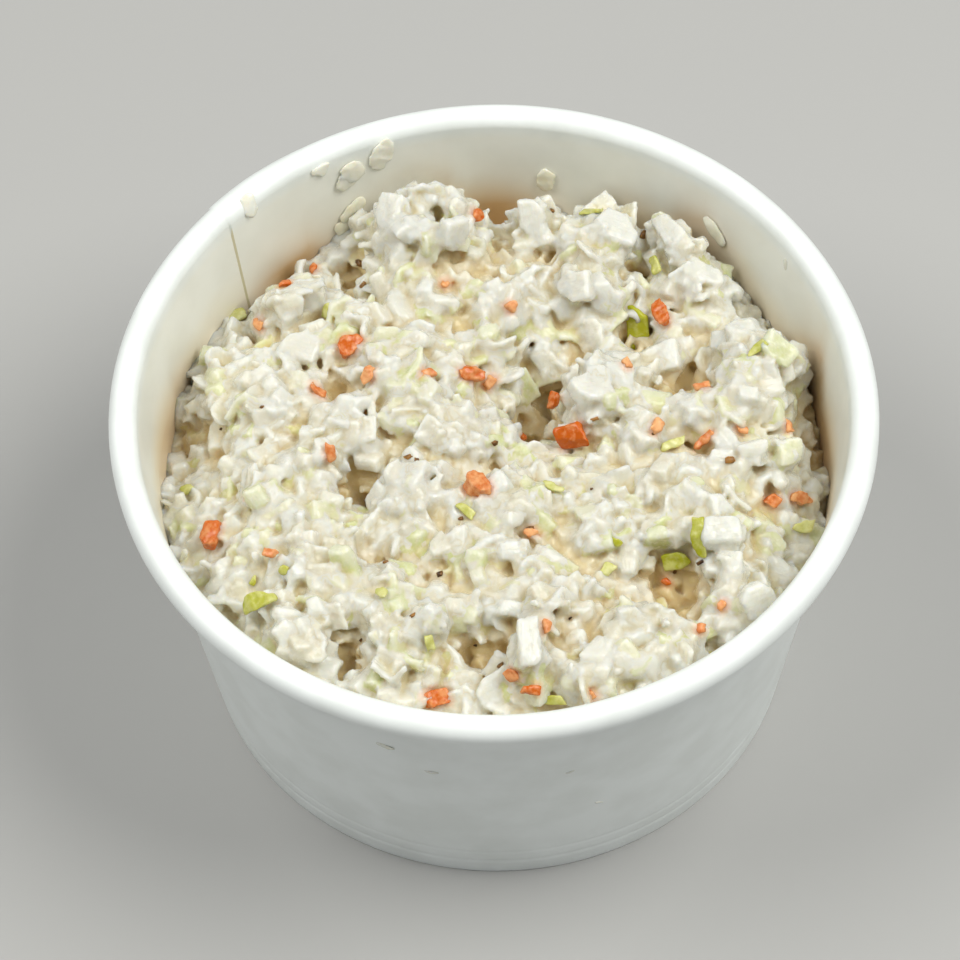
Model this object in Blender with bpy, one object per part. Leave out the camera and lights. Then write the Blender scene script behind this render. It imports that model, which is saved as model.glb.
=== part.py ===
"""A rolled-rim paper cup filled with chopped coleslaw, modelled at its real size.

Metres, +Z up. The origin is the middle of the ring that the cup stands on, and -Y is the side that faces a viewer.
The cup is two papers: a tapered sleeve with a rolled rim, a lap seam and a turned-in foot, and a recessed floor whose
skirt sits in that foot. The coleslaw is one heap: a lumpy core with chopped cabbage and carrot fused to its top.
"""

import math
import random

import bmesh
import bpy
from mathutils import Euler, Vector, noise

MM = 0.001
CLEARANCE = 0.3 * MM

# The paper cup
CUP_HEIGHT = 51.0 * MM
RIM_OUTER_RADIUS = 48.0 * MM
BEAD_RADIUS = 1.8 * MM
FOOT_RADIUS = 38.3 * MM
PAPER = 0.45 * MM
FLOOR_TOP = 6.0 * MM
FOOT_CRIMP = 0.12 * MM
CRIMP_LOW = 3.7 * MM
CRIMP_HIGH = 6.6 * MM
CUP_SEGMENTS = 72

# The sleeve's lap seam, seen inside the cup at the back left
SEAM_ANGLE = math.radians(138.0)
LAP_WIDTH = math.radians(8.0)
LAP_FADE = math.radians(11.0)
LAP_STEP = 0.3 * MM
SEAM_SHARPNESS = math.radians(0.4)

# The heap of coleslaw
HEAP_LEVEL = 39.3 * MM
HEAP_EDGE_DROP = 7.0 * MM
HEAP_EDGE_RADIUS = 43.5 * MM
HEAP_EDGE_POWER = 7
HEAP_TOP_LIMIT = 46.0 * MM
HEAP_TOP_EASING = 1.5 * MM
HEAP_SEGMENTS = 56
HEAP_RINGS = 13
GRAIN_BUMP = 0.7 * MM
GRAIN_WIDTH = 5.0 * MM
LUMP_REACH = 1.3
LUMP_MERGE = 3

# Lumps that rise from the heap, as a name, x, y, radius and rise in millimetres, from the back to the front
LUMPS = (
    ("back_left_peak", -8.0, 34.0, 8.0, 7.0),
    ("back_left_peak_foot", -9.0, 25.0, 6.5, 4.2),
    ("back_middle_knob", 6.5, 33.5, 4.0, 5.2),
    ("back_right_lump", 14.5, 32.0, 6.0, 6.2),
    ("back_right_lump_foot", 13.0, 25.5, 6.0, 3.8),
    ("back_right_shard", 24.0, 30.5, 4.0, 7.0),
    ("back_right_shard_foot", 27.5, 26.0, 5.0, 5.5),
    ("back_centre_swell", 1.5, 21.5, 8.0, 3.0),
    ("left_back_ridge", -19.5, 18.0, 6.0, 3.2),
    ("left_back_slope", -25.0, 24.0, 5.0, 3.4),
    ("left_ridge", -28.5, 10.0, 8.0, 3.0),
    ("right_peak", 35.5, 9.0, 8.5, 7.2),
    ("right_peak_ridge", 28.0, 4.0, 6.0, 4.8),
    ("right_slope", 31.0, -2.0, 7.0, 4.2),
    ("middle_right_lump", 13.5, 6.5, 6.0, 5.4),
    ("middle_right_foot", 18.5, 1.5, 6.0, 4.2),
    ("centre_left_lump", -11.5, 10.5, 8.0, 4.2),
    ("centre_lump", -7.0, 3.0, 6.5, 3.6),
    ("left_lump", -20.5, 2.5, 7.0, 3.2),
    ("left_front_lump", -24.5, -5.0, 8.0, 3.2),
    ("centre_front_lump", -11.0, -7.5, 6.0, 3.6),
    ("front_swell", 0.5, -12.0, 8.0, 3.0),
    ("right_middle_swell", 14.0, -9.5, 8.0, 3.0),
    ("right_front_lump", 24.5, -6.0, 7.0, 3.8),
    ("right_front_lump_foot", 25.0, -13.5, 6.0, 3.8),
    ("right_wall_lump", 29.0, -22.5, 5.5, 4.8),
    ("front_left_lump", -24.5, -17.0, 8.0, 3.2),
    ("front_left_mound", -23.5, -26.0, 6.5, 4.2),
    ("front_mound", -13.5, -26.0, 7.5, 3.8),
    ("front_middle_mound", 5.0, -24.0, 7.0, 3.4),
    ("front_standing_piece", 3.5, -31.5, 4.0, 5.0),
    ("front_right_mound", 18.0, -30.0, 6.5, 4.4),
    ("front_right_foot", 10.5, -34.0, 5.5, 4.2),
)

# Hollows that sink into it, as a name, x, y, radius and depth in millimetres
HOLLOWS = (
    ("back_gap", 1.5, 41.0, 4.5, 5.0),
    ("back_left_gap", -18.0, 31.0, 3.5, 4.5),
    ("peak_hole", -7.1, 33.0, 2.2, 3.5),
    ("shard_gap", 20.5, 30.5, 2.5, 5.0),
    ("left_back_wall_trough", -29.0, 32.0, 5.0, 3.0),
    ("left_hole", -22.5, 21.0, 2.0, 3.0),
    ("leaf_pocket", 19.0, 18.0, 2.2, 2.5),
    ("valley_back", 8.0, 16.0, 4.0, 2.8),
    ("valley_middle", 5.5, 9.0, 3.2, 3.4),
    ("valley_front", 6.5, 4.5, 3.0, 3.6),
    ("right_saddle", 25.0, 10.0, 3.4, 3.0),
    ("right_wall_gap", 42.5, 5.0, 4.0, 5.0),
    ("left_pit", -19.0, 8.5, 2.2, 2.4),
    ("left_wall_trough", -39.0, 5.0, 5.5, 4.0),
    ("left_crevice", -17.0, -4.5, 2.8, 5.0),
    ("right_basin", 22.0, -21.0, 4.6, 3.4),
    ("front_crevice", -1.0, -29.0, 3.0, 3.6),
    ("front_left_hollow", -18.5, -29.0, 3.0, 3.0),
)

# The chopped pieces that show: length, width and thickness ranges in millimetres
PIECES = 135
PIECE_REACH = 42.0 * MM
RIB_DICE = ((3.8, 6.0), (3.0, 4.4), (2.0, 3.0))
LEAF_FLAKE = ((5.0, 8.4), (3.6, 5.8), (0.9, 1.3))
SHRED = ((6.0, 9.5), (1.4, 2.0), (0.9, 1.4))
KIND_SHARES = ((0.42, RIB_DICE), (0.84, LEAF_FLAKE), (1.0, SHRED))
GOLDEN_ANGLE = math.pi * (3.0 - math.sqrt(5.0))
SEED = 7


def clear_scene():
    for obj in list(bpy.data.objects):
        bpy.data.objects.remove(obj)


def principled(name, colour, roughness, metallic=0.0):
    """A plain material with the surface's own colour."""
    material = bpy.data.materials.new(name)
    material.use_nodes = True
    shader = material.node_tree.nodes["Principled BSDF"]
    shader.inputs["Base Color"].default_value = (*colour, 1.0)
    shader.inputs["Roughness"].default_value = roughness
    shader.inputs["Metallic"].default_value = metallic
    material.diffuse_color = (*colour, 1.0)
    return material


def outer_wall_radius(z):
    """The sleeve's straight taper, from the foot to the height of the rim bead's middle."""
    top_radius = RIM_OUTER_RADIUS - 2.0 * BEAD_RADIUS + PAPER
    bead_middle = CUP_HEIGHT - BEAD_RADIUS
    return FOOT_RADIUS + (top_radius - FOOT_RADIUS) * z / bead_middle


def angle_from_seam(angle):
    """How far an angle lies before the seam's edge, from -pi to pi."""
    return (SEAM_ANGLE - angle + math.pi) % (2.0 * math.pi) - math.pi


def inner_lap(angle):
    """How far the inner layer's lap stands into the cup: a sharp edge at the seam, fading out past the lap."""
    before = angle_from_seam(angle)
    if before < 0.0:
        return 0.0
    return LAP_STEP * max(0.0, 1.0 - max(0.0, before - LAP_WIDTH) / LAP_FADE)


def outer_lap(angle):
    """The same for the outer layer, whose sharp edge is at the lap's other side."""
    past = LAP_WIDTH - angle_from_seam(angle)
    if past < 0.0:
        return 0.0
    return LAP_STEP * max(0.0, 1.0 - max(0.0, past - LAP_WIDTH) / LAP_FADE)


def inner_wall_radius(z, angle):
    return outer_wall_radius(z) - PAPER - inner_lap(angle)


def wall_angles():
    """Even steps round the cup, with a pair of close steps at each edge of the lap."""
    step = 2.0 * math.pi / CUP_SEGMENTS
    edges = [SEAM_ANGLE, SEAM_ANGLE - LAP_WIDTH]
    even = [i * step for i in range(CUP_SEGMENTS)]
    kept = [a for a in even if all(abs(a - e) > 2.0 * SEAM_SHARPNESS for e in edges)]
    pairs = [e + side * SEAM_SHARPNESS for e in edges for side in (-1.0, 1.0)]
    return sorted(kept + pairs)


def sleeve_profile():
    """The sleeve's section, round the foot, up the outside, over the bead and down inside.

    Each row is a radius, a height, and how far outward the outer layer's lap and the inner layer's lap move it. The
    paper's inner face rolls over to be the bead's outer one, so the inner layer's lap follows it there.
    """
    bead_middle_radius = RIM_OUTER_RADIUS - BEAD_RADIUS
    bead_middle_z = CUP_HEIGHT - BEAD_RADIUS
    points = [
        (FOOT_RADIUS - 0.1 * MM, 0.0, 1.0, 0.0),
        (outer_wall_radius(0.4 * MM), 0.4 * MM, 1.0, 0.0),
        (outer_wall_radius(CRIMP_LOW) - FOOT_CRIMP, CRIMP_LOW, 1.0, 0.0),
        (outer_wall_radius(CRIMP_HIGH), CRIMP_HIGH, 1.0, 0.0),
    ]
    bead_steps = 13
    bead_start = math.radians(-146.0)
    for i in range(bead_steps + 1):
        turn = bead_start + (math.pi - bead_start) * i / bead_steps
        radius = bead_middle_radius + BEAD_RADIUS * math.cos(turn)
        share = math.cos(turn) if turn > math.radians(-90.0) else 0.0
        points.append((radius, bead_middle_z + BEAD_RADIUS * math.sin(turn), 0.0, share))
    slot = PAPER + 2.0 * CLEARANCE
    slot_top = FLOOR_TOP - PAPER - CLEARANCE
    slot_outer = outer_wall_radius(PAPER) - PAPER
    slot_inner = slot_outer - slot
    leg_inner = slot_inner - PAPER
    points += [
        (outer_wall_radius(FLOOR_TOP) - PAPER, FLOOR_TOP, 0.0, -1.0),
        (slot_outer, PAPER, 0.0, 0.0),
        (slot_inner, PAPER, 0.0, 0.0),
        (slot_inner, slot_top, 0.0, 0.0),
        (leg_inner, slot_top, 0.0, 0.0),
        (leg_inner, 0.0, 0.0, 0.0),
    ]
    return points


def turned_wall(name, profile, angles):
    """A closed body of revolution from a section that doesn't touch the axis, with the lap added where it shows."""
    bm = bmesh.new()
    rings = []
    for angle in angles:
        ring = []
        for radius, z, outer_share, inner_share in profile:
            r = radius + outer_share * outer_lap(angle) + inner_share * inner_lap(angle)
            ring.append(bm.verts.new((r * math.cos(angle), r * math.sin(angle), z)))
        rings.append(ring)
    for i, ring in enumerate(rings):
        following = rings[(i + 1) % len(rings)]
        for j in range(len(profile)):
            k = (j + 1) % len(profile)
            bm.faces.new((ring[j], following[j], following[k], ring[k]))
    return finish_mesh(name, bm)


def finish_mesh(name, bm):
    """Writes a bmesh to a linked object, with its faces pointing out."""
    bmesh.ops.recalc_face_normals(bm, faces=bm.faces[:])
    mesh = bpy.data.meshes.new(name)
    bm.to_mesh(mesh)
    bm.free()
    obj = bpy.data.objects.new(name, mesh)
    bpy.context.scene.collection.objects.link(obj)
    return obj


def shade(obj, material, sharp_degrees=35.0):
    obj.data.materials.clear()
    obj.data.materials.append(material)
    obj.data.shade_smooth()
    obj.data.set_sharp_from_angle(angle=math.radians(sharp_degrees))


def cup_sleeve(material):
    sleeve = turned_wall("cup_sleeve", sleeve_profile(), wall_angles())
    shade(sleeve, material)
    return sleeve


def cup_floor(material):
    """The recessed disc, with its skirt hanging in the sleeve's turned-in foot."""
    skirt_outer = outer_wall_radius(PAPER) - PAPER - CLEARANCE
    skirt_inner = skirt_outer - PAPER
    skirt_low = PAPER + CLEARANCE
    under = FLOOR_TOP - PAPER
    section = [
        (0.0, FLOOR_TOP),
        (skirt_outer - 0.4 * MM, FLOOR_TOP),
        (skirt_outer, FLOOR_TOP - 0.4 * MM),
        (skirt_outer, skirt_low),
        (skirt_inner, skirt_low),
        (skirt_inner, under),
        (0.0, under),
    ]
    bm = bmesh.new()
    verts = [bm.verts.new((radius, 0.0, z)) for radius, z in section]
    edges = [bm.edges.new((verts[i], verts[i + 1])) for i in range(len(verts) - 1)]
    bmesh.ops.spin(
        bm,
        geom=verts + edges,
        axis=(0.0, 0.0, 1.0),
        cent=(0.0, 0.0, 0.0),
        angle=2.0 * math.pi,
        steps=CUP_SEGMENTS,
        use_merge=True,
    )
    bmesh.ops.remove_doubles(bm, verts=bm.verts[:], dist=0.01 * MM)
    floor = finish_mesh("cup_floor", bm)
    shade(floor, material)
    return floor


def bump(x, y, row):
    """A lump's or hollow's share of the height at a point: broad at its middle, steep at its side, 0 past its reach."""
    _, middle_x, middle_y, radius, height = row
    reach = math.hypot(x / MM - middle_x, y / MM - middle_y) / (LUMP_REACH * radius)
    return height * MM * max(0.0, 1.0 - reach**3) ** 2


def heap_height(x, y):
    """The height of the coleslaw's surface over a point of the cup, easing off below the highest level allowed."""
    z = HEAP_LEVEL - HEAP_EDGE_DROP * (math.hypot(x, y) / HEAP_EDGE_RADIUS) ** HEAP_EDGE_POWER
    z += sum(bump(x, y, row) ** LUMP_MERGE for row in LUMPS) ** (1.0 / LUMP_MERGE)
    z -= sum(bump(x, y, row) for row in HOLLOWS)
    z += GRAIN_BUMP * noise.noise(Vector((x, y, 0.0)) / GRAIN_WIDTH)
    easing_starts = HEAP_TOP_LIMIT - HEAP_TOP_EASING
    if z > easing_starts:
        z = HEAP_TOP_LIMIT - HEAP_TOP_EASING * math.exp((easing_starts - z) / HEAP_TOP_EASING)
    return z


def heap_normal(x, y):
    step = 1.0 * MM
    slope_x = (heap_height(x + step, y) - heap_height(x - step, y)) / (2.0 * step)
    slope_y = (heap_height(x, y + step) - heap_height(x, y - step)) / (2.0 * step)
    return Vector((-slope_x, -slope_y, 1.0)).normalized()


def heap_edge_radius(z, angle):
    """The largest radius the coleslaw may take, a clearance short of the cup's inner wall and of its lap nearby."""
    step = 2.0 * math.pi / HEAP_SEGMENTS
    nearest_wall = min(inner_wall_radius(z, angle + turn) for turn in (-step, 0.0, step))
    return nearest_wall - CLEARANCE


def heap_edge_at(angle):
    """The radius at which the heap's surface meets the cup's wall, for the height that the surface has there."""
    guess = heap_edge_radius(HEAP_LEVEL - HEAP_EDGE_DROP, angle)
    z = heap_height(guess * math.cos(angle), guess * math.sin(angle))
    return heap_edge_radius(z, angle)


def heap_core():
    """The heap out to the cup's wall: a lumpy top on rings, straight sides and a flat bottom on the cup's floor."""
    bm = bmesh.new()
    bottom_z = FLOOR_TOP + CLEARANCE
    centre = bm.verts.new((0.0, 0.0, heap_height(0.0, 0.0)))
    rings = []
    for ring_index in range(1, HEAP_RINGS + 1):
        ring = []
        for i in range(HEAP_SEGMENTS):
            angle = 2.0 * math.pi * (i + 0.5 * (ring_index % 2)) / HEAP_SEGMENTS
            radius = heap_edge_at(angle) * ring_index / HEAP_RINGS
            x, y = radius * math.cos(angle), radius * math.sin(angle)
            ring.append(bm.verts.new((x, y, heap_height(x, y))))
        rings.append(ring)
    bottom = []
    for vert in rings[-1]:
        angle = math.atan2(vert.co.y, vert.co.x)
        radius = heap_edge_radius(bottom_z, angle)
        bottom.append(bm.verts.new((radius * math.cos(angle), radius * math.sin(angle), bottom_z)))
    for i in range(HEAP_SEGMENTS):
        k = (i + 1) % HEAP_SEGMENTS
        bm.faces.new((centre, rings[0][i], rings[0][k]))
        bm.faces.new((rings[-1][i], bottom[i], bottom[k], rings[-1][k]))
        for ring_index in range(HEAP_RINGS - 1):
            low, high = rings[ring_index], rings[ring_index + 1]
            if ring_index % 2:
                bm.faces.new((low[i], high[i], high[k]))
                bm.faces.new((low[i], high[k], low[k]))
            else:
                bm.faces.new((low[i], high[k], low[k]))
                bm.faces.new((low[i], high[i], high[k]))
    bm.faces.new(list(reversed(bottom)))
    return finish_mesh("coleslaw", bm)


def chopped_piece(rng, index, size):
    """One chopped piece at the origin: a block with knife-cut corners, bent if it is long for its thickness."""
    length, width, thickness = (rng.uniform(*span) * MM for span in size)
    bm = bmesh.new()
    bmesh.ops.create_cube(bm, size=1.0)
    bmesh.ops.scale(bm, vec=(length, width, thickness), verts=bm.verts[:])
    if length > 3.5 * thickness:
        long_edges = [e for e in bm.edges if abs(e.verts[0].co.x - e.verts[1].co.x) > 0.5 * length]
        bmesh.ops.subdivide_edges(bm, edges=long_edges, cuts=1, use_grid_fill=True)
        bend = rng.uniform(-0.9, 0.9) * MM
        for vert in bm.verts:
            vert.co.z += bend * (2.0 * abs(vert.co.x) / length - 0.5)
    for vert in bm.verts:
        vert.co.x += rng.uniform(-0.16, 0.16) * length
        vert.co.y += rng.uniform(-0.18, 0.18) * width
        vert.co.z += rng.uniform(-0.12, 0.12) * thickness
    bmesh.ops.triangulate(bm, faces=bm.faces[:])
    return finish_mesh(f"chopped_{index:03d}", bm)


def place_piece(rng, piece, index):
    """Beds a piece in the heap's surface, tilted off it, and keeps all of it inside the cup."""
    share = math.sqrt((index + 0.5) / PIECES)
    angle = index * GOLDEN_ANGLE + rng.uniform(-0.12, 0.12)
    radius = PIECE_REACH * share
    x, y = radius * math.cos(angle), radius * math.sin(angle)
    normal = heap_normal(x, y)
    lift = rng.uniform(0.0, 0.7) * MM
    seat = Vector((x, y, heap_height(x, y))) + normal * lift
    tilt = Euler((rng.gauss(0.0, 0.5), rng.gauss(0.0, 0.5), 0.0))
    spin = Euler((0.0, 0.0, rng.uniform(0.0, 2.0 * math.pi)))
    turn = normal.to_track_quat("Z", "Y").to_matrix() @ tilt.to_matrix() @ spin.to_matrix()
    for vert in piece.data.vertices:
        vert.co = turn @ vert.co + seat
    keep_in_cup(piece.data.vertices)


def keep_in_cup(verts):
    """Moves a piece towards the middle, and then down, by as much as its furthest corner is out of bounds."""
    excess, outward = 0.0, Vector()
    for vert in verts:
        angle = math.atan2(vert.co.y, vert.co.x)
        over = math.hypot(vert.co.x, vert.co.y) - heap_edge_radius(vert.co.z, angle)
        if over > excess:
            excess, outward = over, Vector((vert.co.x, vert.co.y, 0.0)).normalized()
    top = max(vert.co.z for vert in verts)
    drop = max(0.0, top - HEAP_TOP_LIMIT)
    for vert in verts:
        vert.co -= outward * (1.15 * excess) + Vector((0.0, 0.0, drop))


def fuse(core, pieces):
    """Joins the pieces to the core with one Boolean union, applies it and removes them."""
    collection = bpy.data.collections.new("chopped_pieces")
    bpy.context.scene.collection.children.link(collection)
    for piece in pieces:
        bpy.context.scene.collection.objects.unlink(piece)
        collection.objects.link(piece)
    union = core.modifiers.new("fused_pieces", "BOOLEAN")
    union.operation = "UNION"
    union.operand_type = "COLLECTION"
    union.collection = collection
    union.solver = "MANIFOLD"
    graph = bpy.context.evaluated_depsgraph_get()
    joined = bpy.data.meshes.new_from_object(core.evaluated_get(graph))
    core.modifiers.clear()
    core.data = joined
    for piece in pieces:
        bpy.data.objects.remove(piece)
    bpy.data.collections.remove(collection)


def keep_largest_body(obj):
    """Drops scraps and sealed hollows that the union leaves apart from the heap's outer surface."""
    bm = bmesh.new()
    bm.from_mesh(obj.data)
    unseen = set(bm.verts)
    bodies = []
    while unseen:
        front = [unseen.pop()]
        body = set(front)
        while front:
            vert = front.pop()
            for edge in vert.link_edges:
                other = edge.other_vert(vert)
                if other in unseen:
                    unseen.discard(other)
                    body.add(other)
                    front.append(other)
        bodies.append(body)
    bodies.sort(key=len)
    scraps = [vert for body in bodies[:-1] for vert in body]
    bmesh.ops.delete(bm, geom=scraps, context="VERTS")
    bmesh.ops.triangulate(bm, faces=bm.faces[:])
    bm.to_mesh(obj.data)
    bm.free()


def coleslaw(material):
    rng = random.Random(SEED)
    core = heap_core()
    pieces = []
    for index in range(PIECES):
        draw = rng.random()
        size = next(kind for limit, kind in KIND_SHARES if draw <= limit)
        piece = chopped_piece(rng, index, size)
        place_piece(rng, piece, index)
        pieces.append(piece)
    fuse(core, pieces)
    keep_largest_body(core)
    shade(core, material, sharp_degrees=30.0)
    return core


def main():
    clear_scene()
    coated_paper = principled("coated_paper", (0.82, 0.83, 0.82), 0.42)
    dressed_cabbage = principled("dressed_cabbage", (0.83, 0.79, 0.66), 0.35)
    cup_sleeve(coated_paper)
    cup_floor(coated_paper)
    coleslaw(dressed_cabbage)


main()
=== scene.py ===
"""Chopped coleslaw in a rolled-rim paper cup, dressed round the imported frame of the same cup.

The sleeve and the heap of coleslaw are modelled here in full. The cup's floor is the frame's own, with a
better finish. Shapes are worked out in millimetres and turned to metres when a piece is finished. -Y faces the
viewer.
"""

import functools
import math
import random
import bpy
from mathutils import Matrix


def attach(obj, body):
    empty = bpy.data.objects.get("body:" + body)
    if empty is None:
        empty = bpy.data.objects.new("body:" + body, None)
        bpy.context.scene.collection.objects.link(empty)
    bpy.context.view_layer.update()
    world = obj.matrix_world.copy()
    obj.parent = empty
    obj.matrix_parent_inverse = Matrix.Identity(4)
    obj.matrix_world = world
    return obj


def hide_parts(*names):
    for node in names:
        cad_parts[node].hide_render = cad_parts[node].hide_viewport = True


bl_info = {
    "name": "Coleslaw in a paper cup",
    "version": (1, 0, 0),
    "blender": (4, 5, 0),
    "location": "View3D > Sidebar > Coleslaw",
    "description": "Builds a paper cup of chopped coleslaw round its packed frame",
    "category": "Object",
}

import bmesh
import bpy
import numpy as np
from bpy.props import FloatProperty, FloatVectorProperty, IntProperty, PointerProperty
from mathutils import Euler, Matrix, Vector, noise
from mathutils.bvhtree import BVHTree

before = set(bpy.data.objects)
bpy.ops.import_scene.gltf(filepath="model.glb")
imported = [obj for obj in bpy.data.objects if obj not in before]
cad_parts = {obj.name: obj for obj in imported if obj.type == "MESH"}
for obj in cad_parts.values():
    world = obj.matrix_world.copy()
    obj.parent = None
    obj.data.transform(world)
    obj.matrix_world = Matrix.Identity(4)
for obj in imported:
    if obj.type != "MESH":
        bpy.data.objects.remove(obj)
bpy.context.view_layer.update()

MM = 0.001
BODY = "root"

# The photograph's frame and the camera that its cup outline gives
IMAGE_SIZE = 960
SENSOR_MM = 36.0
FOCAL_PIXELS = 4487.0
CAMERA_PLACE_MM = (-3.2, -318.1, 508.8)
CAMERA_PITCH = math.radians(56.2)
CAMERA_YAW = math.radians(-0.23)
CAMERA_ROLL = math.radians(-1.52)

# The cup, in millimetres
CUP_HEIGHT = 51.0
RIM_OUTER_RADIUS = 48.0
BEAD_RADIUS = 1.8
FOOT_RADIUS = 38.3
PAPER = 0.45
FLOOR_TOP = 6.0
SLOT = 1.05
CRIMPS = ((3.7, 0.35, 0.11), (6.6, 0.3, 0.09))  # the level, spread and depth of each knurled band
CRIMP_END = 9.0
BEAD_FOOT = 47.2  # where the outer wall turns into the rolled bead
BEAD_START = math.radians(-150.0)
BEAD_STEPS = 40
BEAD_MIDDLE = RIM_OUTER_RADIUS - BEAD_RADIUS
BEAD_LEVEL = CUP_HEIGHT - BEAD_RADIUS
SLEEVE_STEPS = 216
RIM_WOBBLE = 0.1  # how far the sleeve is out of round, in full above this level
WOBBLE_FROM = 20.0

# The sleeve's lap seam: where its edge stands inside the cup, how wide the lap is, over what angle and from
# what step in millimetres it fades, and how wide the cut edge itself is
SEAM_ANGLE = math.radians(138.0)
LAP_WIDTH = math.radians(8.0)
LAP_FADE = math.radians(11.0)
LAP_STEP = 0.22
SEAM_EDGE = math.radians(0.16)

# Dressing films the wall inside, and a painted warm reflection of the heap tints it cream: up to this height,
# thickening over this distance below it, and never less than this share, the painted reflection that covers the
# whole inner wall; its patches are this wide
FILM_TOP = 45.0
FILM_FADE = 9.0
FILM_REFLECTION_LEAST = 0.3
FILM_PATCH = 14.0

# Just over the heap the wall is painted with warm shade and bounce light from the heap, which fades over this
# height. The heap's level is read at this radius. The painted shade is strongest in these places, as a name, angle
# and spread in degrees, and strength.
BOUNCE_SHADE_FADE = 3.0
BOUNCE_SHADE_RADIUS = 40.0
BOUNCE_SHADE_LEAST = 0.18
BOUNCE_SHADE_LOWEST = 35.5
BOUNCE_SHADE_SPOTS = (
    ("beside_seam", 127.0, 8.0, 0.9),
    ("back_gap", 88.0, 8.0, 0.8),
    ("right_gap", 8.0, 16.0, 0.7),
    ("right_back", 52.0, 10.0, 0.45),
    ("left_trough", 170.0, 14.0, 0.45),
)

# The heap, in millimetres: its level, its drop at the wall, its highest point, how lumps reach and merge, how
# far out pieces lie, where its core is cut off, how deep it presses on the wall, and how the dressing pools and
# crumples
HEAP_LEVEL = 39.3
HEAP_EDGE_DROP = 7.0
HEAP_EDGE_RADIUS = 43.5
HEAP_EDGE_POWER = 7
HEAP_TOP_LIMIT = 47.4
LUMP_REACH = 1.3
LUMP_MERGE = 3
HEAP_REACH = 42.5
CUT_LEVEL = 26.0
WALL_BITE = 0.15
POOL_ROUNDS = 15
CRUMPLE = 0.3

# Clumps of chopped food on the heap, each as its width, the plane of the noise that it reads, and its rise
CLUMPS = ((5.5, 3.1, 2.1), (2.6, 7.7, 0.9))

# How far pieces stand off the heap's level: limits, then middle and spread
PIECE_LIFT = (-1.8, 0.9)
PIECE_LIFT_SPREAD = (-0.55, 0.55)

CORE_DEPTH = 1.5  # how far the core's top lies below the heap's level
CORE_RINGS = 53
CORE_SEGMENTS = 150
BED_SHARE = 0.78  # size of the bed that each carrot bit leaves in the coat, against the bit
PROUD = 1.06  # size of each bit against its drawn shape, so that it stands out of the coat
STAIN_REACH = 0.8  # how far carrot stains the dressing round it
ROOM_REACH = 2.5  # how near a piece's middle has to be to a bit's to be pressed down under it
ROOM_GAP = 0.1  # how far below the bit's middle it then lies
# The near and broad hollowness measured with these drive the heap's painted shade in hollows and painted highlight
# on tips.
NEAR_ROUNDS = 45  # how many rounds of smoothing a near hollow is measured against
NEAR_DEPTH = 1.0  # how deep a near hollow is for its full mark, and a broad one
BROAD_DEPTH = 2.6
WALL_MARGIN = 0.6  # how far pieces may reach into the wall before the coat is cut back to it

# Lumps that rise from the heap, as a name, x, y, radius and rise in millimetres, from the back to the front
LUMPS = (
    ("back_left_peak", -8.0, 34.0, 8.0, 9.5),
    ("back_left_peak_foot", -9.0, 25.0, 6.5, 4.2),
    ("back_middle_knob", 6.5, 33.5, 4.0, 5.2),
    ("back_right_lump", 14.5, 32.0, 6.0, 6.2),
    ("back_right_lump_foot", 13.0, 25.5, 6.0, 3.8),
    ("back_right_shard", 24.0, 30.5, 4.0, 7.0),
    ("back_right_shard_foot", 27.5, 26.0, 5.0, 5.5),
    ("back_centre_swell", 1.5, 21.5, 8.0, 3.0),
    ("left_back_ridge", -19.5, 18.0, 6.0, 3.2),
    ("left_back_slope", -25.0, 24.0, 5.0, 3.4),
    ("left_ridge", -28.5, 10.0, 8.0, 3.0),
    ("right_peak", 35.5, 9.0, 8.5, 7.2),
    ("right_peak_ridge", 28.0, 4.0, 6.0, 4.8),
    ("right_slope", 31.0, -2.0, 7.0, 4.2),
    ("middle_right_lump", 13.5, 6.5, 6.0, 5.4),
    ("middle_right_foot", 18.5, 1.5, 6.0, 4.2),
    ("centre_left_lump", -11.5, 10.5, 8.0, 4.2),
    ("centre_lump", -7.0, 3.0, 6.5, 3.6),
    ("left_lump", -20.5, 2.5, 7.0, 3.2),
    ("left_front_lump", -24.5, -5.0, 8.0, 3.2),
    ("centre_front_lump", -11.0, -7.5, 6.0, 3.6),
    ("front_swell", 0.5, -12.0, 8.0, 3.0),
    ("right_middle_swell", 14.0, -9.5, 8.0, 3.0),
    ("right_front_lump", 24.5, -6.0, 7.0, 3.8),
    ("right_front_lump_foot", 25.0, -13.5, 6.0, 3.8),
    ("right_wall_lump", 29.0, -22.5, 5.5, 4.8),
    ("front_left_lump", -24.5, -17.0, 8.0, 3.2),
    ("front_left_mound", -23.5, -26.0, 6.5, 4.2),
    ("front_mound", -13.5, -26.0, 7.5, 3.8),
    ("front_middle_mound", 5.0, -24.0, 7.0, 3.4),
    ("front_standing_piece", 3.5, -31.5, 4.0, 5.0),
    ("front_right_mound", 18.0, -30.0, 6.5, 4.4),
    ("front_right_foot", 10.5, -34.0, 5.5, 4.2),
)

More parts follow.
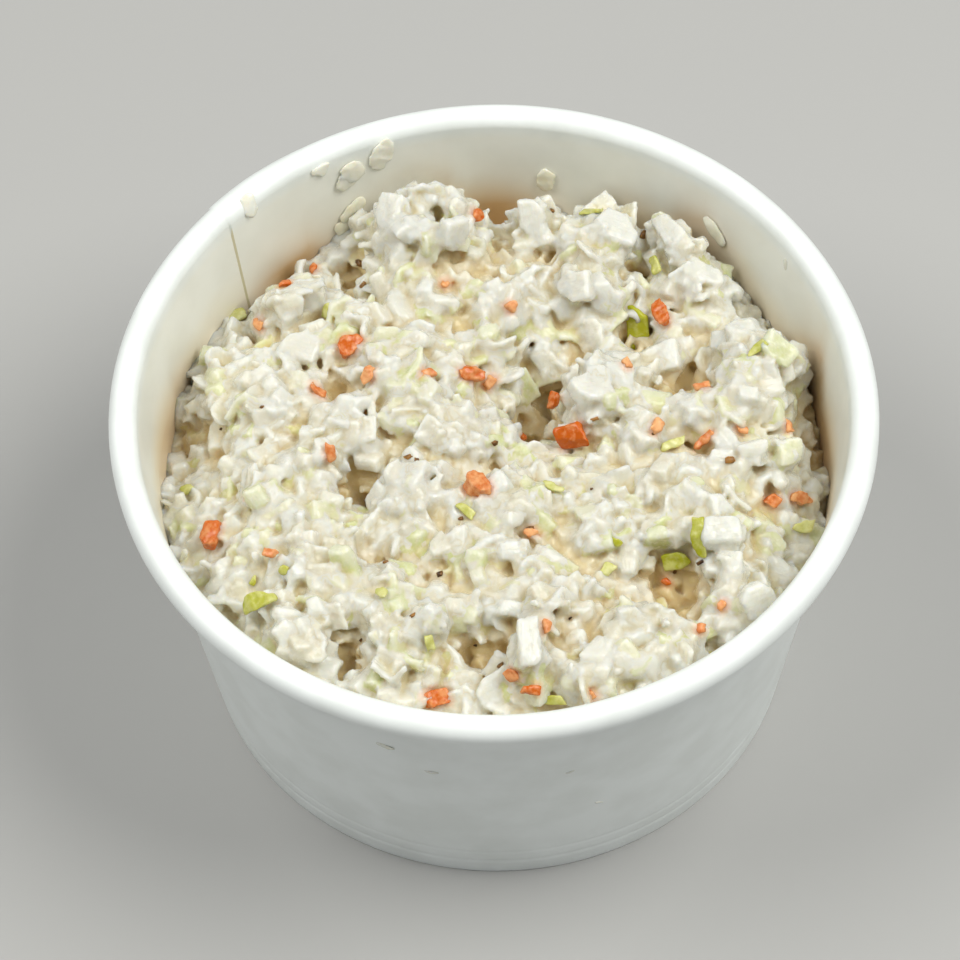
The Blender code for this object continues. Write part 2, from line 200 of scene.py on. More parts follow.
# Hollows that sink into it, as a name, x, y, radius and depth in millimetres
HOLLOWS = (
    ("back_gap", 1.5, 41.0, 5.0, 6.5),
    ("back_left_gap", -18.0, 31.0, 3.5, 4.5),
    ("peak_hole", -7.1, 33.0, 2.8, 5.5),
    ("shard_gap", 20.3, 30.0, 2.6, 5.5),
    ("left_back_wall_trough", -29.0, 32.0, 5.0, 3.0),
    ("left_hole", -22.5, 21.0, 2.8, 5.0),
    ("leaf_pocket", 19.0, 18.0, 3.0, 4.0),
    ("valley_back", 8.0, 15.5, 5.6, 4.8),
    ("valley_middle", 5.5, 9.5, 5.4, 6.4),
    ("valley_front", 6.0, 5.0, 4.2, 6.5),
    ("right_saddle", 25.0, 10.0, 4.2, 4.6),
    ("right_wall_gap", 42.0, 5.0, 5.5, 7.0),
    ("left_pit", -19.0, 8.5, 2.8, 3.6),
    ("left_wall_trough", -39.0, 5.0, 6.0, 3.4),
    ("left_crevice", -17.0, -4.5, 3.8, 7.0),
    ("right_basin", 22.0, -21.0, 5.2, 5.2),
    ("front_crevice", -1.0, -29.0, 3.8, 5.6),
    ("front_left_hollow", -18.5, -29.0, 3.4, 4.4),
)

# Chopped pieces: length, width and thickness ranges in millimetres, each kind's share of the scatter, and how
# many shapes of each kind there are
RIB_DICE = ((2.2, 4.6), (1.9, 3.4), (1.4, 2.6))
LEAF_FLAKE = ((3.0, 6.0), (2.0, 4.0), (0.55, 0.9))
SHRED = ((3.6, 7.0), (0.9, 1.6), (0.7, 1.2))
CRUMB = ((1.0, 2.2), (0.8, 1.7), (0.7, 1.4))
KIND_SHARES = (("dice", 0.38), ("flake", 0.29), ("shred", 0.16), ("crumb", 0.17))
SHAPES_PER_KIND = 14
NOISE_SEED = 11  # mathutils takes its noise vectors' seed from the clock unless one is set

# What the photograph shows on the heap, each as a name, its middle's column and row in the picture's pixels,
# length and width in millimetres, turn in degrees anticlockwise from the picture's right, and a last share,
# which is a chip's tone from rib to leaf, or how far dressing veils a coloured bit
CHIPS = (
    ("back_left_shard", 387, 214, 5.5, 3.6, 75, 0.6),
    ("back_peak_chip", 455, 236, 5.0, 3.6, 100, 0.5),
    ("back_middle_shard", 531, 219, 5.2, 3.0, 95, 0.6),
    ("back_right_slice", 617, 226, 6.0, 4.2, -20, 0.5),
    ("back_tall_shard", 668, 228, 6.0, 3.0, -45, 0.6),
    ("back_right_flap", 706, 274, 5.2, 3.0, -30, 0.65),
    ("back_centre_clump", 574, 289, 4.8, 3.8, 15, 0.65),
    ("back_right_clump", 600, 292, 4.6, 3.2, -60, 0.6),
    ("saddle_clump", 590, 335, 4.4, 4.0, 10, 0.7),
    ("lump_crown", 590, 386, 5.6, 4.4, 10, 0.62),
    ("lump_back", 618, 372, 4.6, 3.6, -15, 0.5),
    ("wall_spike", 716, 310, 4.8, 3.2, 25, 0.6),
    ("peak_spike", 742, 326, 4.6, 2.6, 60, 0.6),
    ("peak_pale_leaf", 782, 350, 5.4, 3.2, -30, 0.97),
    ("peak_fold", 758, 384, 6.6, 4.0, 18, 0.66),
    ("peak_low_fold", 708, 404, 4.4, 2.4, 30, 0.7),
    ("right_wall_cube", 791, 451, 3.6, 3.2, 10, 0.9),
    ("right_cube", 722, 533, 4.8, 4.2, 5, 0.5),
    ("right_block", 723, 566, 5.0, 3.8, -10, 0.62),
    ("right_wall_slice", 757, 600, 4.8, 4.0, 20, 0.5),
    ("right_wall_chip", 775, 570, 5.2, 3.2, -15, 0.5),
    ("right_wall_strip", 768, 538, 5.0, 2.4, -35, 0.92),
    ("left_smooth_chip", 405, 476, 4.8, 3.6, -30, 0.6),
    ("left_clump", 352, 398, 4.4, 3.2, 55, 0.6),
    ("left_back_clump", 300, 345, 5.0, 4.0, -20, 0.66),
    ("left_pale_leaf", 312, 345, 2.8, 2.0, 10, 0.98),
    ("front_smooth_chip", 495, 687, 5.0, 3.4, 30, 0.6),
    ("front_standing_shard", 531, 640, 6.5, 3.0, 92, 0.6),
    ("front_chip", 468, 590, 4.6, 3.8, 60, 0.5),
    ("front_left_chip", 320, 532, 5.0, 4.0, 10, 0.5),
    ("left_front_chip", 272, 500, 4.2, 3.6, 70, 0.6),
)
CARROTS = (
    ("left_ridge", 348, 345, 2.9, 2.0, 60, 0.2),
    ("left_ridge_foot", 368, 375, 1.8, 1.2, 75, 0.75),
    ("left_curl", 319, 391, 2.4, 0.9, -20, 0.5),
    ("left_pink", 331, 453, 2.4, 1.0, -65, 0.5),
    ("centre_left_faint", 429, 373, 1.8, 1.1, 20, 0.6),
    ("centre_left", 471, 373, 3.0, 2.1, -10, 0.3),
    ("centre_left_edge", 491, 382, 1.8, 1.3, 50, 0.85),
    ("valley_sliver", 554, 398, 2.4, 1.1, 85, 0.1),
    ("valley_large", 573, 437, 3.9, 2.5, 20, 0.0),
    ("valley_dot", 523, 437, 1.0, 0.9, 0, 0.2),
    ("centre_salmon", 478, 485, 3.3, 2.8, -40, 0.5),
    ("left_wall", 212, 534, 2.9, 2.1, 80, 0.2),
    ("right_back", 661, 313, 2.8, 1.7, -50, 0.15),
    ("right_faint", 702, 385, 1.7, 1.0, 35, 0.6),
    ("right_strip", 704, 440, 2.6, 1.0, 45, 0.4),
    ("right_dot", 744, 430, 1.2, 1.0, 0, 0.7),
    ("right_wall", 775, 501, 2.0, 1.3, -35, 0.35),
    ("right_wall_edge", 801, 498, 2.6, 1.3, -15, 0.6),
    ("basin_dot", 667, 582, 1.1, 0.9, -50, 0.1),
    ("front_faint", 547, 627, 1.6, 0.9, 75, 0.5),
    ("front_rim", 435, 699, 3.2, 1.8, 10, 0.25),
    ("front_crevice", 512, 675, 2.0, 1.3, -50, 0.5),
    ("front_crevice_strip", 531, 690, 2.0, 1.0, -10, 0.2),
    ("front_right", 701, 628, 1.5, 0.9, 80, 0.4),
    ("front_right_faint", 722, 606, 1.2, 0.8, 50, 0.7),
    ("centre_pink", 531, 533, 1.8, 1.0, 10, 0.8),
    ("back_peak", 478, 215, 1.6, 1.2, 70, 0.3),
    ("left_back_dot", 313, 268, 1.2, 0.9, 60, 0.3),
    ("left_back_edge", 286, 283, 1.8, 1.1, 45, 0.2),
    ("back_centre_faint", 512, 306, 1.5, 1.2, 20, 0.75),
    ("peak_foot_dot", 446, 283, 1.1, 0.9, 60, 0.6),
    ("lump_back_faint", 627, 363, 1.4, 0.9, -70, 0.75),
    ("left_edge_faint", 258, 325, 1.6, 1.0, -20, 0.8),
    ("front_left_faint", 270, 553, 1.6, 0.9, -20, 0.6),
    ("right_peak_faint", 790, 425, 1.6, 0.9, 90, 0.7),
    ("right_middle_faint", 658, 425, 2.0, 1.2, 50, 0.85),
    ("front_middle_faint", 590, 696, 1.5, 0.9, 20, 0.6),
)
LEAVES = (
    ("pit_leaf", 638, 327, 5.0, 2.3, 95, 0.0),
    ("basin_leaf", 678, 561, 3.2, 1.9, 15, 0.2),
    ("basin_leaf_upright", 699, 538, 4.2, 1.6, 85, 0.3),
    ("back_strip", 590, 211, 2.8, 1.6, -40, 0.6),
    ("back_curl", 654, 262, 2.6, 1.0, -50, 0.4),
    ("peak_leaf_edge", 757, 349, 2.4, 1.0, 40, 0.5),
    ("left_wall_strip", 257, 601, 4.4, 1.8, 15, 0.4),
    ("left_wall_bit", 283, 571, 1.2, 1.0, 80, 0.4),
    ("left_wall_edge", 253, 580, 1.2, 0.9, 60, 0.4),
    ("left_wall_green", 186, 490, 1.6, 1.2, 40, 0.5),
    ("rim_strip", 553, 699, 3.0, 1.1, 5, 0.4),
    ("centre_strip", 467, 511, 3.0, 0.9, -40, 0.6),
    ("centre_pale_strip", 553, 487, 2.8, 0.8, -50, 0.75),
    ("front_strip", 430, 641, 2.6, 1.0, 110, 0.65),
    ("front_left_strip", 382, 592, 1.6, 1.0, -30, 0.7),
    ("middle_olive_strip", 617, 543, 1.7, 0.8, -25, 0.3),
    ("middle_yellow", 609, 569, 1.6, 1.3, 60, 0.7),
    ("right_wall_strip", 805, 527, 2.6, 1.1, 10, 0.7),
    ("left_pit_leaf", 326, 313, 2.4, 1.0, 70, 0.65),
    ("right_olive", 673, 444, 3.4, 0.9, 20, 0.8),
    ("left_wall_flake", 235, 317, 2.6, 1.5, 30, 0.75),
)
SPECKS = (
    ("centre", 495, 443, 1.0, 0.6, 30, 0.5),
    ("right_amber", 730, 460, 1.2, 0.8, 0, 0.9),
    ("left_olive", 409, 457, 1.3, 0.5, 15, 0.7),
    ("left_olive_tip", 417, 460, 0.6, 0.5, 0, 0.5),
    ("left_back_seed", 359, 263, 1.2, 0.8, -10, 0.3),
    ("left_back_low", 363, 285, 0.9, 0.6, 60, 0.6),
    ("back_edge", 552, 211, 0.8, 0.5, 80, 0.4),
    ("strip_head", 460, 506, 0.8, 0.5, 60, 0.1),
    ("strip_foot", 461, 519, 0.6, 0.5, 0, 0.4),
    ("front_left", 386, 562, 0.8, 0.4, 0, 0.7),
    ("front_round", 440, 574, 0.8, 0.6, 20, 0.2),
    ("centre_pink", 529, 528, 1.1, 0.4, 10, 0.4),
    ("basin_sliver", 701, 562, 1.3, 0.4, 30, 0.0),
    ("basin_dots", 675, 572, 0.6, 0.4, 70, 0.3),
    ("back_bark", 644, 234, 1.4, 0.8, 60, 0.5),
    ("lump_bark", 595, 419, 1.3, 0.4, 20, 0.9),
    ("right_small", 653, 434, 0.4, 0.3, 0, 0.3),
    ("front_small", 570, 618, 0.5, 0.3, 45, 0.1),
    ("middle_small", 592, 489, 0.4, 0.3, 0, 0.4),
    ("crevice_seed", 501, 666, 0.8, 0.6, 0, 0.5),
    ("left_wall_small", 221, 429, 0.5, 0.3, 0, 0.3),
    ("left_small", 262, 407, 0.5, 0.4, 60, 0.5),
    ("front_edge", 413, 615, 0.8, 0.4, 50, 0.6),
    ("front_middle_small", 475, 645, 0.4, 0.3, 0, 0.2),
    ("leaf_foot", 361, 640, 0.5, 0.3, 50, 0.2),
)

# Scraps of cabbage and drops of dressing on the cup's wall, inside and outside, in the same form
WALL_SCRAPS = (
    ("back_cube", 546, 179, 2.4, 3.4, -5, 0.4),
    ("back_left_chip", 381, 153, 5.6, 2.8, 85, 0.8),
    ("back_left_smear", 351, 171, 3.6, 3.8, 20, 0.7),
    ("back_left_smear_foot", 344, 180, 2.6, 2.4, 40, 0.7),
    ("left_flake", 352, 209, 4.2, 2.4, 60, 0.3),
    ("left_low_flake", 345, 225, 3.2, 2.6, 30, 0.2),
    ("right_drop", 716, 230, 4.4, 2.2, -65, 0.6),
    ("left_drop", 320, 169, 2.5, 1.8, 8, 0.9),
    ("rim_drip", 249, 205, 2.8, 1.8, -70, 1.0),
    ("rim_drip_foot", 252, 212, 2.4, 1.8, -30, 1.0),
    ("right_fleck", 786, 265, 1.2, 0.8, 60, 0.9),
    ("outer_left_smear", 385, 746, 2.2, 0.8, -25, 0.9),
    ("outer_middle_smear", 431, 772, 1.6, 0.7, 20, 0.9),
    ("outer_right_smear", 570, 772, 1.3, 0.6, 35, 0.9),
    ("outer_drop", 600, 802, 0.9, 0.7, 0, 1.0),
)
SCRAP_BITE = 0.12  # how deep a scrap's back lies in the paper
WALL_DOTS = (
    ("right_wall_dot", 817, 444, 0.5, 0.4, 0, 0.5),
    ("right_wall_low_dot", 823, 506, 0.4, 0.3, 0, 0.4),
)
GOLDEN_ANGLE = math.pi * (3.0 - math.sqrt(5.0))


def linear(code):
    """An sRGB hex colour as linear red, green and blue."""
    parts = [int(code.lstrip("#")[i : i + 2], 16) / 255.0 for i in (0, 2, 4)]
    return tuple(p / 12.92 if p <= 0.04045 else ((p + 0.055) / 1.055) ** 2.4 for p in parts)


def colour(name, text, code):
    return FloatVectorProperty(
        name=name, description=text, subtype="COLOR", size=3, min=0.0, max=1.0, default=linear(code)
    )


class CupSettings(bpy.types.PropertyGroup):
    """What a user would change on the paper cup."""

    rim_radius: FloatProperty(
        name="Rim radius",
        description="Outer radius of the rolled rim",
        default=RIM_OUTER_RADIUS * MM,
        unit="LENGTH",
    )
    paper: FloatProperty(
        name="Paper", description="Thickness of the coated paperboard", default=PAPER * MM, unit="LENGTH"
    )
    board: colour("Board", "Colour of the coated paperboard", "#F2F7F5")
    fibre: colour("Fibre", "Colour of the fibres that show faintly through the coating", "#EAEFEC")


class SlawSettings(bpy.types.PropertyGroup):
    """What a user would change on the coleslaw."""

    pieces: IntProperty(
        name="Pieces", description="How many chopped pieces lie in the heap's surface", default=4300
    )
    voxel: FloatProperty(
        name="Coat",
        description="Grain to which the dressing coats and joins the pieces",
        default=0.24 * MM,
        unit="LENGTH",
    )
    triangles: IntProperty(
        name="Triangles", description="Most triangles that the coated heap may have", default=190000
    )
    seed: IntProperty(name="Seed", description="Start of every random draw", default=11)
    dressing: colour("Dressing", "Creamy dressing", "#DAD6C6")
    rib: colour("Rib", "White cabbage rib", "#D8DAD5")
    pale_leaf: colour("Pale leaf", "Pale inner leaf", "#D3D4A6")
    # Painted shade: the golden tone that light passing through the pieces gives the gaps between them.
    gap: colour("Gap", "Deep gaps between the pieces, where light has passed through them", "#D8C08C")
    leaf: colour("Leaf", "Green outer leaf", "#ABAD24")
    carrot: colour("Carrot", "Chopped carrot", "#C65C06")
    pepper: colour("Pepper", "Ground pepper and seeds", "#3A2412")


def add_node(tree, kind, settings=None, links=None):
    """Adds a node, gives its attributes and unlinked sockets their values, and links the rest."""
    node = tree.nodes.new(kind)
    for key, value in (settings or {}).items():
        if isinstance(key, str) and hasattr(node, key):
            setattr(node, key, value)
        else:
            node.inputs[key].default_value = value
    for key, source in (links or {}).items():
        tree.links.new(source, node.inputs[key])
    return node


def empty_material(name):
    material = bpy.data.materials.new(name)
    material.use_nodes = True
    material.node_tree.nodes.clear()
    return material


def per_mm(size):
    """The scale of a pattern on object coordinates whose features are this many millimetres across."""
    return 1.0 / (size * MM)


def opaque(rgb):
    return (*rgb, 1.0)


def painted(tree):
    """The red, green, blue and alpha of the marks that a piece's mesh carries."""
    marks = add_node(tree, "ShaderNodeAttribute", {"attribute_name": "piece_marks"})
    parts = add_node(tree, "ShaderNodeSeparateColor", links={"Color": marks.outputs["Color"]})
    return *parts.outputs, marks.outputs["Alpha"]


def laid_over(tree, under, mark, span, tint):
    """Lays a tint over a colour. As the mark runs from the span's first value to its second, the tint's share runs
    from its third to its fourth."""
    low, high, start, end = span
    reach = {"From Min": low, "From Max": high, "To Min": start, "To Max": end}
    share = add_node(tree, "ShaderNodeMapRange", reach, {"Value": mark}).outputs["Result"]
    layers = {"data_type": "RGBA", 7: opaque(tint)}
    return add_node(tree, "ShaderNodeMix", layers, {0: share, 6: under}).outputs[2]


def raw_board_edge():
    """The cut edge of the paperboard at the sleeve's seam, where the uncoated fibres show buff."""
    material = empty_material("raw_board_edge")
    tree = material.node_tree
    look = {"Base Color": opaque(linear("#E2DABB")), "Roughness": 0.7}
    shader = add_node(tree, "ShaderNodeBsdfPrincipled", look)
    add_node(tree, "ShaderNodeOutputMaterial", links={"Surface": shader.outputs["BSDF"]})
    return material


def coated_paperboard(settings):
    """Bleached paperboard, rolled and coated with polyethylene: a soft sheen, and faint fibres and creases."""
    material = empty_material("coated_paperboard")
    tree = material.node_tree
    place = add_node(tree, "ShaderNodeTexCoord").outputs["Object"]
    mottle = add_node(tree, "ShaderNodeTexNoise", {"Scale": per_mm(7.0), "Detail": 3.0}, {"Vector": place})
    grain = {"Scale": per_mm(0.8), "Detail": 4.0, "Roughness": 0.65}
    fibres = add_node(tree, "ShaderNodeTexNoise", grain, {"Vector": place})
    bare = add_node(tree, "ShaderNodeValToRGB", links={"Fac": mottle.outputs["Fac"]})
    stops = ((0.35, settings.fibre), (0.62, settings.board))
    for element, (position, tone) in zip(bare.color_ramp.elements, stops):
        element.position, element.color = position, opaque(tone)
    film_and_reflection, bounce_shade, _, _ = painted(tree)
    # Dressing on the inner wall, together with a painted warm reflection of the heap that tints all of it cream.
    tone = laid_over(tree, bare.outputs["Color"], film_and_reflection, (0.0, 1.0, 0.0, 0.8), linear("#F1E8CE"))
    # Painted shade and bounce light: a warm brown band on the inner wall just over the heap.
    tone = laid_over(tree, tone, bounce_shade, (0.0, 1.0, 0.0, 0.9), linear("#C9A26A"))
    reach = {"From Min": 0.3, "From Max": 0.7, "To Min": 0.34, "To Max": 0.46}
    rough = add_node(tree, "ShaderNodeMapRange", reach, {"Value": mottle.outputs["Fac"]}).outputs["Result"]
    relief = {"Strength": 0.12, "Distance": 0.05 * MM}
    fine = add_node(tree, "ShaderNodeBump", relief, {"Height": fibres.outputs["Fac"]}).outputs["Normal"]
    looks = {"Base Color": tone, "Roughness": rough, "Normal": fine}
    shader = add_node(tree, "ShaderNodeBsdfPrincipled", {"IOR": 1.5}, looks)
    add_node(tree, "ShaderNodeOutputMaterial", links={"Surface": shader.outputs["BSDF"]})
    return material


def along_piece(tree, place):
    """Object coordinates drawn out fivefold along each piece, for fibres that run with it."""
    axis = add_node(tree, "ShaderNodeAttribute", {"attribute_name": "piece_axis"}).outputs["Vector"]
    along = add_node(tree, "ShaderNodeVectorMath", {"operation": "DOT_PRODUCT"}, {0: place, 1: axis})
    short = add_node(tree, "ShaderNodeMath", {"operation": "MULTIPLY", 1: 0.8}, {0: along.outputs["Value"]})
    step = {0: axis, "Scale": short.outputs["Value"]}
    back = add_node(tree, "ShaderNodeVectorMath", {"operation": "SCALE"}, step).outputs["Vector"]
    drawn = add_node(tree, "ShaderNodeVectorMath", {"operation": "SUBTRACT"}, {0: place, 1: back})
    return drawn.outputs["Vector"]


def dressed_cabbage(settings):
    """Chopped cabbage in creamy dressing: wet and a little see-through, with a painted white highlight on its
    edges and painted golden shade in its gaps.
    """
    material = empty_material("dressed_cabbage")
    tree = material.node_tree
    place = add_node(tree, "ShaderNodeTexCoord").outputs["Object"]
    piece, near, broad, stain = painted(tree)
    clots = {"Scale": per_mm(0.9), "Detail": 3.0, "Roughness": 0.6}
    grain = add_node(tree, "ShaderNodeTexNoise", clots, {"Vector": place}).outputs["Fac"]
    threads = {"Scale": per_mm(0.4), "Detail": 2.0, "Roughness": 0.6}
    fibres = add_node(tree, "ShaderNodeTexNoise", threads, {"Vector": along_piece(tree, place)}).outputs["Fac"]
    rib, leaf, cream = settings.rib, settings.pale_leaf, settings.dressing
    clear, deep_leaf = linear("#D1CBB4"), linear("#C5CB88")
    stops = ((0.2, clear), (0.35, cream), (0.55, rib), (0.75, cream), (0.9, leaf), (1.0, deep_leaf))
    cabbage = add_node(tree, "ShaderNodeValToRGB", links={"Fac": piece})
    ends = cabbage.color_ramp.elements
    ends.remove(ends[1])
    ends[0].color = opaque(rib)
    for position, tone in stops:
        ends.new(position).color = opaque(tone)
    tone = laid_over(tree, cabbage.outputs["Color"], grain, (0.35, 0.65, 0.0, 0.5), cream)
    # Painted highlight: a pale cool tint on the tips and edges of the pieces.
    tone = laid_over(tree, tone, near, (0.5, 0.15, 0.0, 0.45), linear("#DFE1DC"))
    # Painted shade: a golden tint in the narrow hollows between the pieces.
    tone = laid_over(tree, tone, near, (0.5, 0.9, 0.0, 0.65), linear("#DCCB8E"))
    # Painted shade: the golden colour of the gaps, laid into the broad hollows of the heap.
    tone = laid_over(tree, tone, broad, (0.5, 0.95, 0.0, 0.85), settings.gap)
    tone = laid_over(tree, tone, stain, (0.0, 1.0, 0.0, 0.6), linear("#F2B385"))
    reach = {"From Min": 0.3, "From Max": 0.7, "To Min": 0.1, "To Max": 0.34}
    rough = add_node(tree, "ShaderNodeMapRange", reach, {"Value": grain}).outputs["Result"]
    height = add_node(tree, "ShaderNodeMath", {"operation": "ADD"}, {0: grain, 1: fibres}).outputs["Value"]
    relief = {"Strength": 0.45, "Distance": 0.22 * MM}
    fine = add_node(tree, "ShaderNodeBump", relief, {"Height": height}).outputs["Normal"]
    flesh = {
        "IOR": 1.42,
        "Subsurface Weight": 0.85,
        "Subsurface Scale": 2.5 * MM,
        "Subsurface Radius": (1.0, 0.85, 0.62),
    }
    looks = {"Base Color": tone, "Roughness": rough, "Normal": fine}
    shader = add_node(tree, "ShaderNodeBsdfPrincipled", flesh, looks)
    add_node(tree, "ShaderNodeOutputMaterial", links={"Surface": shader.outputs["BSDF"]})
    return material


def moist_food(name, base, veil, grain_mm, roughness, subsurface_mm):
    """A chopped vegetable's own colour, moist and a little see-through, with dressing over it in patches."""
    material = empty_material(name)
    tree = material.node_tree
    place = add_node(tree, "ShaderNodeTexCoord").outputs["Object"]
    clots = {"Scale": per_mm(grain_mm), "Detail": 3.0, "Roughness": 0.6}
    patches = add_node(tree, "ShaderNodeTexNoise", clots, {"Vector": place}).outputs["Fac"]
    reach = {"From Min": 0.35, "From Max": 0.65, "To Min": -0.3, "To Max": 0.3}
    patchy = add_node(tree, "ShaderNodeMapRange", reach, {"Value": patches}).outputs["Result"]
    total = {"operation": "ADD", "use_clamp": True}
    share = add_node(tree, "ShaderNodeMath", total, {0: painted(tree)[0], 1: patchy}).outputs["Value"]
    layers = {"data_type": "RGBA", 6: opaque(base), 7: opaque(linear(veil))}
    tone = add_node(tree, "ShaderNodeMix", layers, {0: share}).outputs[2]
    relief = {"Strength": 0.5, "Distance": 0.15 * MM}
    fine = add_node(tree, "ShaderNodeBump", relief, {"Height": patches}).outputs["Normal"]
    flesh = {
        "Roughness": roughness,
        "IOR": 1.42,
        "Subsurface Weight": 0.3,
        "Subsurface Scale": subsurface_mm * MM,
        "Subsurface Radius": (1.0, 0.7, 0.4),
    }
    shader = add_node(tree, "ShaderNodeBsdfPrincipled", flesh, {"Base Color": tone, "Normal": fine})
    add_node(tree, "ShaderNodeOutputMaterial", links={"Surface": shader.outputs["BSDF"]})
    return material


def link_piece(name, mesh, material):
    """Puts a finished mesh in the scene as a piece that rides on the cup's one body."""
    mesh.materials.clear()
    mesh.materials.append(material)
    mesh.shade_smooth()
    piece = bpy.data.objects.new(name, mesh)
    bpy.context.scene.collection.objects.link(piece)
    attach(piece, BODY)
    return piece


def in_order(points, triangles):
    """A shape's points and triangles, ordered by their places, because bmesh operators keep no order between
    runs and thinning follows it."""
    order = np.lexsort(points.T[::-1])
    rank = np.empty(len(points), dtype=int)
    rank[order] = np.arange(len(points))
    triangles = rank[triangles]
    corners = (triangles.argmin(axis=1)[:, None] + np.arange(3)) % 3
    triangles = np.take_along_axis(triangles, corners, axis=1)
    return points[order], triangles[np.lexsort(triangles.T[::-1])]


def mesh_from_bmesh(name, bm):
    """Turns a bmesh in millimetres into a mesh in metres, in a fixed order."""
    loose = bpy.data.meshes.new("loose")
    bm.to_mesh(loose)
    bm.free()
    surface = Surface(loose)
    bpy.data.meshes.remove(loose)
    points, triangles = in_order(surface.co, surface.triangles)
    return mesh_from_arrays(name, points * MM, triangles)


def outer_wall_radius(z):
    top_radius = RIM_OUTER_RADIUS - 2.0 * BEAD_RADIUS + PAPER
    return FOOT_RADIUS + (top_radius - FOOT_RADIUS) * z / BEAD_LEVEL


def inner_wall_radius(z):
    return outer_wall_radius(z) - PAPER


def before_seam(angle):
    return (SEAM_ANGLE - angle + math.pi) % (2.0 * math.pi) - math.pi


def lap(past):
    """How far a lap's layer stands out, this far past its sharp edge."""
    if past < 0.0:
        return 0.0
    return LAP_STEP * max(0.0, 1.0 - max(0.0, past - LAP_WIDTH) / LAP_FADE)


def sleeve_profile():
    """The sleeve's closed section as radius and height: foot, outer wall, bead, inner wall, turned-in leg."""
    points = [(FOOT_RADIUS - 0.12, 0.0), (outer_wall_radius(0.15) - 0.02, 0.15), (outer_wall_radius(0.4), 0.4)]
    points += [(outer_wall_radius(z) - dip, z) for z, dip in crimps()]
    points += [(outer_wall_radius(z), z) for z in np.linspace(CRIMP_END, BEAD_FOOT, 14)]
    for i in range(BEAD_STEPS + 1):
        turn = BEAD_START + (math.pi - BEAD_START) * i / BEAD_STEPS
        points.append((BEAD_MIDDLE + BEAD_RADIUS * math.cos(turn), BEAD_LEVEL + BEAD_RADIUS * math.sin(turn)))
    points += [(inner_wall_radius(z), z) for z in np.linspace(BEAD_FOOT + 0.4, FLOOR_TOP, 46)]
    slot_outer = inner_wall_radius(PAPER)
    slot_inner = slot_outer - SLOT
    slot_top = FLOOR_TOP - 2.0 * PAPER
    leg_inner = slot_inner - PAPER
    points += [(slot_outer, PAPER), (slot_inner, PAPER), (slot_inner, slot_top)]
    points += [(leg_inner, slot_top), (leg_inner, 0.0)]
    return points


def crimps():
    """The two knurled bands that seal the floor's skirt, as height and dip."""
    rows = []
    for z in np.linspace(1.0, 8.0, 29):
        rows.append((z, sum(dip * math.exp(-(((z - level) / spread) ** 2)) for level, spread, dip in CRIMPS)))
    return rows


def shape_sleeve_vertex(co):
    """Adds the lap's steps and the rim's slight unevenness to a point of the turned sleeve."""
    angle = math.atan2(co.y, co.x)
    r, z = math.hypot(co.x, co.y), co.z
    inner = lap(before_seam(angle))
    outer = lap(LAP_WIDTH - before_seam(angle))
    depth = outer_wall_radius(z) - r
    on_bead = math.hypot(r - BEAD_MIDDLE, z - BEAD_LEVEL) < BEAD_RADIUS + 0.02
    if on_bead and z > BEAD_LEVEL - 0.6 * BEAD_RADIUS:
        turn = math.atan2(z - BEAD_LEVEL, r - BEAD_MIDDLE)
        r += inner * math.cos(turn)
        z += 0.4 * inner * max(0.0, math.sin(turn))
    elif z > 1.5 * PAPER and 0.5 * PAPER < depth < 1.3 * PAPER:
        r -= inner
    elif depth <= 0.5 * PAPER:
        r += outer
    wobble = RIM_WOBBLE * noise.noise(Vector((2.2 * math.cos(angle), 2.2 * math.sin(angle), z / 40.0)))
    r += wobble * min(1.0, z / WOBBLE_FROM)
    co.x, co.y, co.z = r * math.cos(angle), r * math.sin(angle), z


def cut_sleeve_at(bm, angle):
    """Adds a loop down the sleeve at an angle, for a lap edge as sharp as cut paper."""
    out = Vector((math.cos(angle), math.sin(angle), 0.0))
    across = Vector((-math.sin(angle), math.cos(angle), 0.0))
    cone = math.cos(math.radians(6.0))
    near = [face for face in bm.faces if face.calc_center_median().xy.normalized().dot(out.xy) > cone]
    geom = set(near)
    for face in near:
        geom.update(face.verts)
        geom.update(face.edges)
    bmesh.ops.bisect_plane(bm, geom=list(geom), dist=0.001, plane_co=(0.0, 0.0, 0.0), plane_no=across)


def on_inner_wall(place):
    middle = outer_wall_radius(place.z) - 0.5 * PAPER
    return FLOOR_TOP < place.z < CUP_HEIGHT - 2.0 * BEAD_RADIUS + 0.8 and place.xy.length < middle


def film_and_painted_shade_marks(mesh):
    """For each point of the sleeve inside, how thickly dressing films it, with a painted warm reflection of the
    heap throughout, and how strongly painted shade and bounce light from the heap lie on it.
    """
    values = np.zeros((len(mesh.vertices), 4), dtype=np.float32)
    for vert in mesh.vertices:
        place = vert.co / MM
        if on_inner_wall(place):
            patch = 0.7 + 0.9 * noise.noise(place / FILM_PATCH)
            # Dressing, never thinner than the painted cream reflection of the heap that covers the whole inner
            # wall.
            values[vert.index, 0] = min(1.0, max(FILM_REFLECTION_LEAST, patch * (FILM_TOP - place.z) / FILM_FADE))
            around = place.xy.normalized()
            level = max(BOUNCE_SHADE_LOWEST, surface_level(around.x * BOUNCE_SHADE_RADIUS, around.y * BOUNCE_SHADE_RADIUS))
            angle = math.degrees(math.atan2(around.y, around.x))
            extra = sum(row[3] * math.exp(-(((angle - row[1]) / row[2]) ** 2)) for row in BOUNCE_SHADE_SPOTS)
            height = max(0.0, place.z - level)
            # Painted shade and bounce light from the heap, fading above its level.
            values[vert.index, 1] = min(1.0, BOUNCE_SHADE_LEAST + extra) * math.exp(-height / BOUNCE_SHADE_FADE)
    return values


